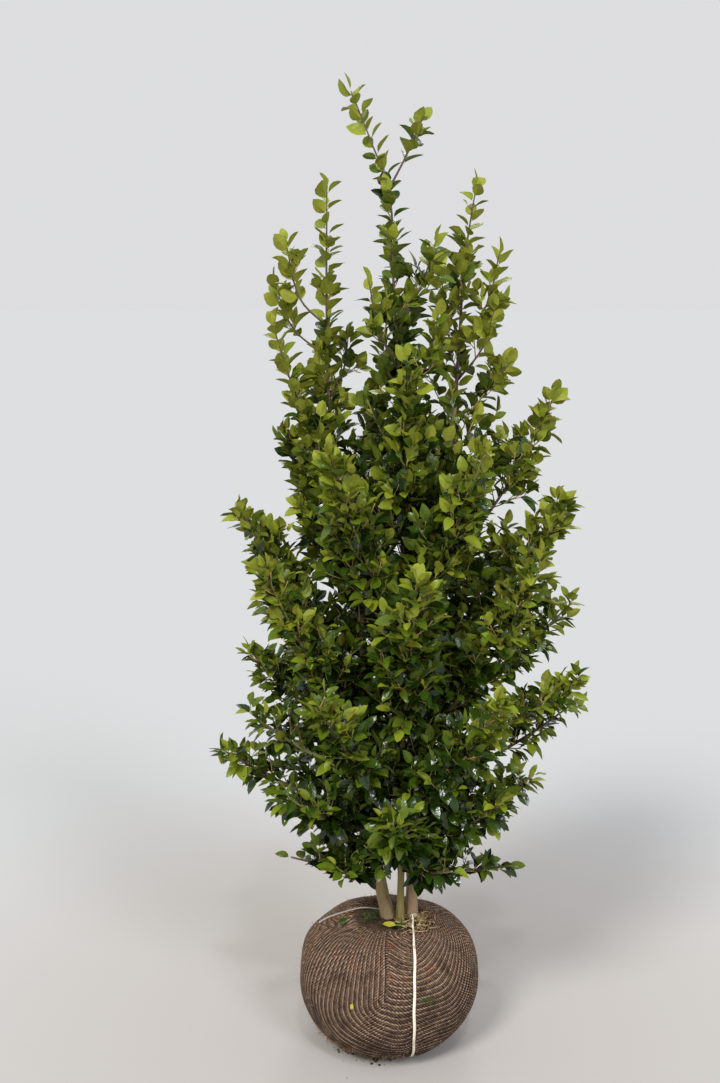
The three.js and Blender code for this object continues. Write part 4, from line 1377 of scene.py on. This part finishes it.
TIE_TOP, TIE_END = 2.0, 5.0  # how far down from the crest it starts, and how high it ends
TIE_WIDTH = 6.2
TIE_TIGHTENED = 2.6  # how much narrower it is at the knot
TIE_THICKNESS = 1.1
TIE_TWIST = 0.7
TIGHT_RUN = 55.0
TIE_LEAD = np.array([0.25, -0.3, 1.0])  # the way the tie's flat side faces behind the rim
KNOT = np.array([54.0, -24.0, 301.0])
KNOT_BAND = (3.2, 1.0)
LEAD_BAND = (4.2, 1.0)
CORD_BAND = (3.4, 1.2)
CORD_FACE = np.array([-0.3, -0.4, 1.0])


def tie_pieces():
    """The tie, from the right stem's foot over the rim and straight down the front, narrow where
    it is tightened and flat below, and the knot's two loops: ellipses turned about the knot. Its
    course bows a little to the left by the square of the way down, and strays by two sines."""
    rng = np.random.default_rng(12)
    wall = slice(FOOT_ROWS, -RIM_ROWS)
    down = np.linspace(TIE_TOP, np.interp(TIE_END, PROFILE[wall, 1], DOWN[wall]), 100)
    stray = 0.9 * np.sin(down / 37) + 0.5 * np.sin(down / 12 + 1)
    angle = straight_down(TIE_X + 3.5 - 4 * (down / 380) ** 2 + stray, down)
    line, lifted = ball_surface(angle, down, 1.9), ball_surface(angle, down, 6.0)
    tight = bell(down, TIGHT_RUN)
    twist = (TIE_TWIST * tight * np.sin(down / 9))[:, None]
    out = unit(lifted - line) + unit(np.cross(UP, lifted - line)) * twist
    width = TIE_WIDTH + 0.5 * np.sin(down / 27) - TIE_TIGHTENED * tight
    made = [strap(line, unit(out), width, TIE_THICKNESS)]
    lead = rounded([KNOT + [0, 0, 9], KNOT + [1, -20, 3], KNOT + [-1, -42, 2], line[0], line[3]], 40)
    made.append(strap(lead, unit(TIE_LEAD), *LEAD_BAND))
    for turn in range(2):
        a = np.linspace(0, 2 * np.pi * 0.9, 26) + turn * 2.6
        tilt = rng.normal(0, 0.5, 3)
        flat = 4 * np.sin(a) + tilt[0] * np.cos(a) * 3
        loop = np.stack([6 * np.cos(a), flat, 4 * np.sin(a + tilt[1])], 1)
        made.append(strap(KNOT + [3 * turn, 3 * turn, 2.0] + loop, unit(loop + [0, 0, 2]), *KNOT_BAND))
    vertices, quads = joined([part[:2] for part in made])
    return vertices, quads, np.concatenate([part[2] for part in made])


def drawstring():
    """The net's drawstring: from behind the left stem over the rim and down the left shoulder."""
    shoulder = ball_surface(np.linspace(-1.8, -1.62, 30), np.linspace(6, 96, 30), 3.4)
    line = rounded([[-22, 26, 297], [-60, 27, 300], shoulder[0], *shoulder[6::6]], 70)
    return strap(line, unit(CORD_FACE), *CORD_BAND)


vertices, faces, uv = tie_pieces()
new_piece("tie_strap_woven", vertices, faces, [TIE], "tie", ["tie_strap"], uv=uv)
vertices, faces, uv = drawstring()
new_piece("net_drawstring", vertices, faces, [DRAWSTRING], "net", uv=uv)


def fibres(seed, anchor, out, length, radius, curl):
    """Short hairs: each starts at its anchor, leaves along out and curls by random steps."""
    rng = np.random.default_rng(seed)
    count, steps = len(anchor), 5
    heading = unit(out + rng.normal(0, 0.5, (count, 3)))
    lines = [anchor]
    size = length * (0.5 + rng.random(count))[:, None] / steps
    for _ in range(steps):
        heading = unit(heading + rng.normal(0, curl, (count, 3)))
        lines.append(lines[-1] + heading * size)
    lines = np.stack(lines, 1)
    lines[..., 2] = np.maximum(lines[..., 2], 0.6)
    radii = radius * np.linspace(1, 0.4, steps + 1)[None] * np.ones((count, 1))
    return tubes(lines, radii, 3)


def scattered(count, seed, middle, spread):
    """Seeded points round a middle, spread by a normal law."""
    return np.array(middle) + np.random.default_rng(seed).normal(0, 1, (count, 3)) * spread


def hairs(seed, angle, down):
    """Loose hairs of yarn that stand off the net, most of them lying along it."""
    rng = np.random.default_rng(seed)
    root = ball_surface(angle, down, 1.0)
    outward = unit(ball_surface(angle, down, 6.0) - root)
    aside = unit(np.cross(outward, UP)) * rng.choice([-1.2, 1.2], len(angle))[:, None]
    return fibres(seed + 1, root, outward * 0.4 + aside, 14.0, 0.35, 0.5)


def ball_of(centre, radius, rings=10, sides=14):
    """A sphere as stacked rings between two end points."""
    a = np.linspace(0, np.pi, rings + 2)[1:-1]
    lines = centre + np.outer(-np.cos(a), UP) * radius
    return tubes(lines[None], (radius * np.sin(a))[None], sides)


def clods():
    """Crumbs of soil that fell at the foot of the ball, most of them at its front left: spheres
    flattened to two thirds."""
    rng = np.random.default_rng(41)
    made = []
    for size in 1.1 + 3.2 * rng.random(70) ** 3:
        angle = rng.normal(-0.7, 0.35)
        away = 118 + rng.gamma(1.6, 9.0)
        middle = np.array([away * math.sin(angle), -away * math.cos(angle), 0.6 * size])
        vertices, faces = ball_of(middle, size, 3, 6)
        made.append(((vertices - middle) * [1, 1, 0.66] + middle, faces))
    return joined(made)


FLAT = np.array([1.0, 1.0, 0.2])  # the spread of directions for what lies about
HAIRS, FUZZ, STRAWS, MOSS_HAIRS = 900, 700, 64, 150
rng = np.random.default_rng(20)
hair_place = rng.uniform(-np.pi, np.pi, HAIRS), rng.uniform(2, 400, HAIRS)
fuzz_place = rng.normal(-0.9, 0.6, FUZZ), rng.normal(352, 24, FUZZ)
straw_root = scattered(STRAWS, 51, [62, -44, 299], [17, 20, 3])
straw_way = unit(scattered(STRAWS, 52, [0, 0, 0], FLAT * [1, 1, 2.5]))
moss_root = scattered(MOSS_HAIRS, 53, [-46, -14, 297], [12, 12, 2])
for name, material, made in (
    ("net_loose_fibres", JUTE_FIBRE, hairs(21, *hair_place)),
    ("net_fuzz_at_foot", SOILED_FIBRE, hairs(25, *fuzz_place)),
    ("straw_litter", STRAW, fibres(23, straw_root, straw_way, 28.0, 1.4, 0.2)),
    ("moss_tuft", MOSS, fibres(24, moss_root, UP, 9.0, 1.0, 0.35)),
    ("fallen_soil", SOIL, clods()),
):
    new_piece(name, *made, [material], "net")

# ---------------------------------------------------------------- berries and fallen leaves

CAMERA_PLACE = np.array([-67.65, -2801.6, 1700.0])
CAMERA_PITCH = math.radians(10.42)
VIEW_SIZE = (720, 1083)
FOCAL = 1284.3
BERRY_SPOTS = ((363, 448), (361, 443))  # the two berries' places in the camera's view
BERRY_RADIUS = 3.9


def in_view(points):
    """Where points fall in the camera's view, and how far off they are."""
    p = points - CAMERA_PLACE
    depth = p[:, 1] * math.cos(CAMERA_PITCH) - p[:, 2] * math.sin(CAMERA_PITCH)
    down = -p[:, 2] * math.cos(CAMERA_PITCH) - p[:, 1] * math.sin(CAMERA_PITCH)
    return VIEW_SIZE[0] / 2 + FOCAL * p[:, 0] / depth, VIEW_SIZE[1] / 2 + FOCAL * down / depth, depth


def berries():
    """Each berry hangs by a short stalk from the twig's tip that is nearest its spot in the
    camera's view and not deep in the crown. Each face's material is 0, or 1 on a stalk."""
    tips = np.concatenate([shoots["tip"] for shoots, _ in grown])
    px, py, depth = in_view(tips)
    parts = []
    for x, y in BERRY_SPOTS:
        tip = tips[np.argmin(np.hypot(px - x, py - y) + (depth - depth.min()) * 0.05)]
        end = tip + np.array([1.5, -6.0, -5.0])
        stalk = np.stack([tip, (tip + end) / 2 + [0, 0, 1], end])[None]
        parts += [ball_of(end + [0, 0, -3.2], BERRY_RADIUS), tubes(stalk, np.full((1, 3), 0.5), 5)]
    kinds = [np.full(len(faces), i % 2) for i, (_, faces) in enumerate(parts)]
    return *joined(parts), np.concatenate(kinds)


vertices, faces, kinds = berries()
new_piece("berries", vertices, faces, [BERRY, GREEN_TWIG], "leaves_mid", kinds=kinds)

# Leaves that fell on the ball: where each lies, the way it points, the way its face is turned,
# its length and its material.
FALLEN_FINISHES = [FALLEN_YELLOW, LEAF_TOPS[2], LEAF_TOPS[1], DRY_LEAF]
FALLEN = [
    ([-18, -52, 299], [1, -0.3, 0.1], [0.3, 1, 0.25], 34, 0),
    ([8, -54, 299], [1, -0.2, -0.05], [0.1, 0.8, 0.5], 32, 2),
    ([-122, -36, 291], [0.9, 0.35, 0.2], [-0.4, 0.9, 0.2], 34, 2),
    ([-88, -193, 166], [0.3, 0.1, 1], [1, -0.5, -0.2], 15, 0),
    ([100, -184, 190], [-1, -0.5, -0.1], [0.2, 0.1, -1], 38, 2),
]
LITTER = 20  # dry leaves among the straw, round the stems' feet
root, along, across, length, kinds = (np.array(column, float) for column in zip(*FALLEN))
count = len(FALLEN)
fallen = {
    "root": root,
    "along": unit(along),
    "across": unit(across),
    "length": length,
    "width": np.full(count, 0.56),
    "fold": np.full(count, 0.2),
    "droop": np.full(count, 0.1),
    "wave": np.full(count, 0.03),
    "phase": np.arange(float(count)),
}
rng = np.random.default_rng(61)
litter = {
    "root": scattered(LITTER, 62, [58, -34, 299], [22, 16, 1]),
    "along": unit(scattered(LITTER, 63, [0, 0, 0], FLAT)),
    "across": unit(scattered(LITTER, 64, [0, 0, 0], FLAT)),
    "length": rng.uniform(14, 26, LITTER),
    "width": rng.uniform(0.4, 0.6, LITTER),
    "fold": rng.uniform(0.2, 0.8, LITTER),
    "droop": rng.normal(0.1, 0.2, LITTER),
    "wave": np.full(LITTER, 0.06),
    "phase": np.arange(float(LITTER)),
}
vertices, faces, mark = blades({key: np.concatenate([fallen[key], litter[key]]) for key in fallen})
kinds = np.repeat([*kinds, *[3] * LITTER], len(BLADE))
new_piece("fallen_leaves", vertices, faces, FALLEN_FINISHES, "leaves_mid", kinds=kinds, crease=mark)

# ---------------------------------------------------------------- stage, light and camera

FLOOR_WARM_AND_SHADOW = (0.5, 1.9)  # m from the tree, where the floor's warm, darker tone starts and ends to fade: its own beige and a painted soft shadow
FAR = 400.0
STUDIO_LIGHT = 0.74


def matt_floor(tree):
    """Matt pale floor, a little warmer and darker near the tree, which is its own beige tone and a
    painted soft shadow round the tree, fading all round to the world's shade.
    """
    place = add(tree, "TexCoord")["Object"]
    away = add(tree, "VectorMath", {0: place}, operation="LENGTH")
    fade = {"Value": away["Value"], "From Min": FLOOR_WARM_AND_SHADOW[0], "From Max": FLOOR_WARM_AND_SHADOW[1]}
    shift = add(tree, "MapRange", fade, interpolation_type="SMOOTHSTEP")
    # Near tone: the floor's own beige, a little darker as a painted soft shadow round the tree.
    tone = add(tree, "ValToRGB", {0: shift[0]}, [(0.0, "#a6a29e"), (1.0, "#acadad")])
    return {"Base Color": tone[0], "Roughness": 0.7, "Specular IOR Level": 0.0}


def stage_floor():
    """A level floor, out to where it meets a world of its own shade."""
    mesh = bpy.data.meshes.new("floor")
    corners = [(-FAR, -FAR, 0), (FAR, -FAR, 0), (FAR, FAR, 0), (-FAR, FAR, 0)]
    mesh.from_pydata(corners, [], [(0, 1, 2, 3)])
    piece = bpy.data.objects.new("floor", mesh)
    bpy.context.scene.collection.objects.link(piece)
    mesh.materials.append(finish("pale_floor", matt_floor))


def lamp(name, bearing, height, soft, strength, colour):
    """A far soft lamp: its light comes level-turned by the bearing from the front, and down at
    the height, both in degrees, spread over a disc of the angle soft."""
    data = bpy.data.lights.new(name, "SUN")
    data.angle = math.radians(soft)
    data.energy = strength
    data.color = linear(colour)[:3]
    piece = bpy.data.objects.new(name, data)
    bpy.context.scene.collection.objects.link(piece)
    piece.rotation_euler = (math.radians(90 - height), 0, math.radians(bearing))


stage_floor()
lamp("key", -32, 44, 16, 2.5, "#fffdf8")
lamp("fill", 34, 34, 18, 1.4, "#f5f7ff")
lamp("glint", 8, 60, 4, 0.5, "#f6f8ff")
lamp("rear", 170, 38, 24, 0.7, "#ffffff")

scene = bpy.context.scene
world = bpy.data.worlds.new("studio")
scene.world = world
world.use_nodes = True
background = world.node_tree.nodes["Background"]
background.inputs["Color"].default_value = linear("#fdfdff")
background.inputs["Strength"].default_value = STUDIO_LIGHT

scene.view_settings.view_transform = "Standard"
camera_data = bpy.data.cameras.new("camera")
camera_data.lens = camera_data.sensor_width * FOCAL / VIEW_SIZE[1]
camera_data.clip_start, camera_data.clip_end = 0.05, 1500
camera = bpy.data.objects.new("camera", camera_data)
scene.collection.objects.link(camera)
camera.location = CAMERA_PLACE * MM
camera.rotation_euler = (math.pi / 2 - CAMERA_PITCH, 0, 0)
scene.camera = camera
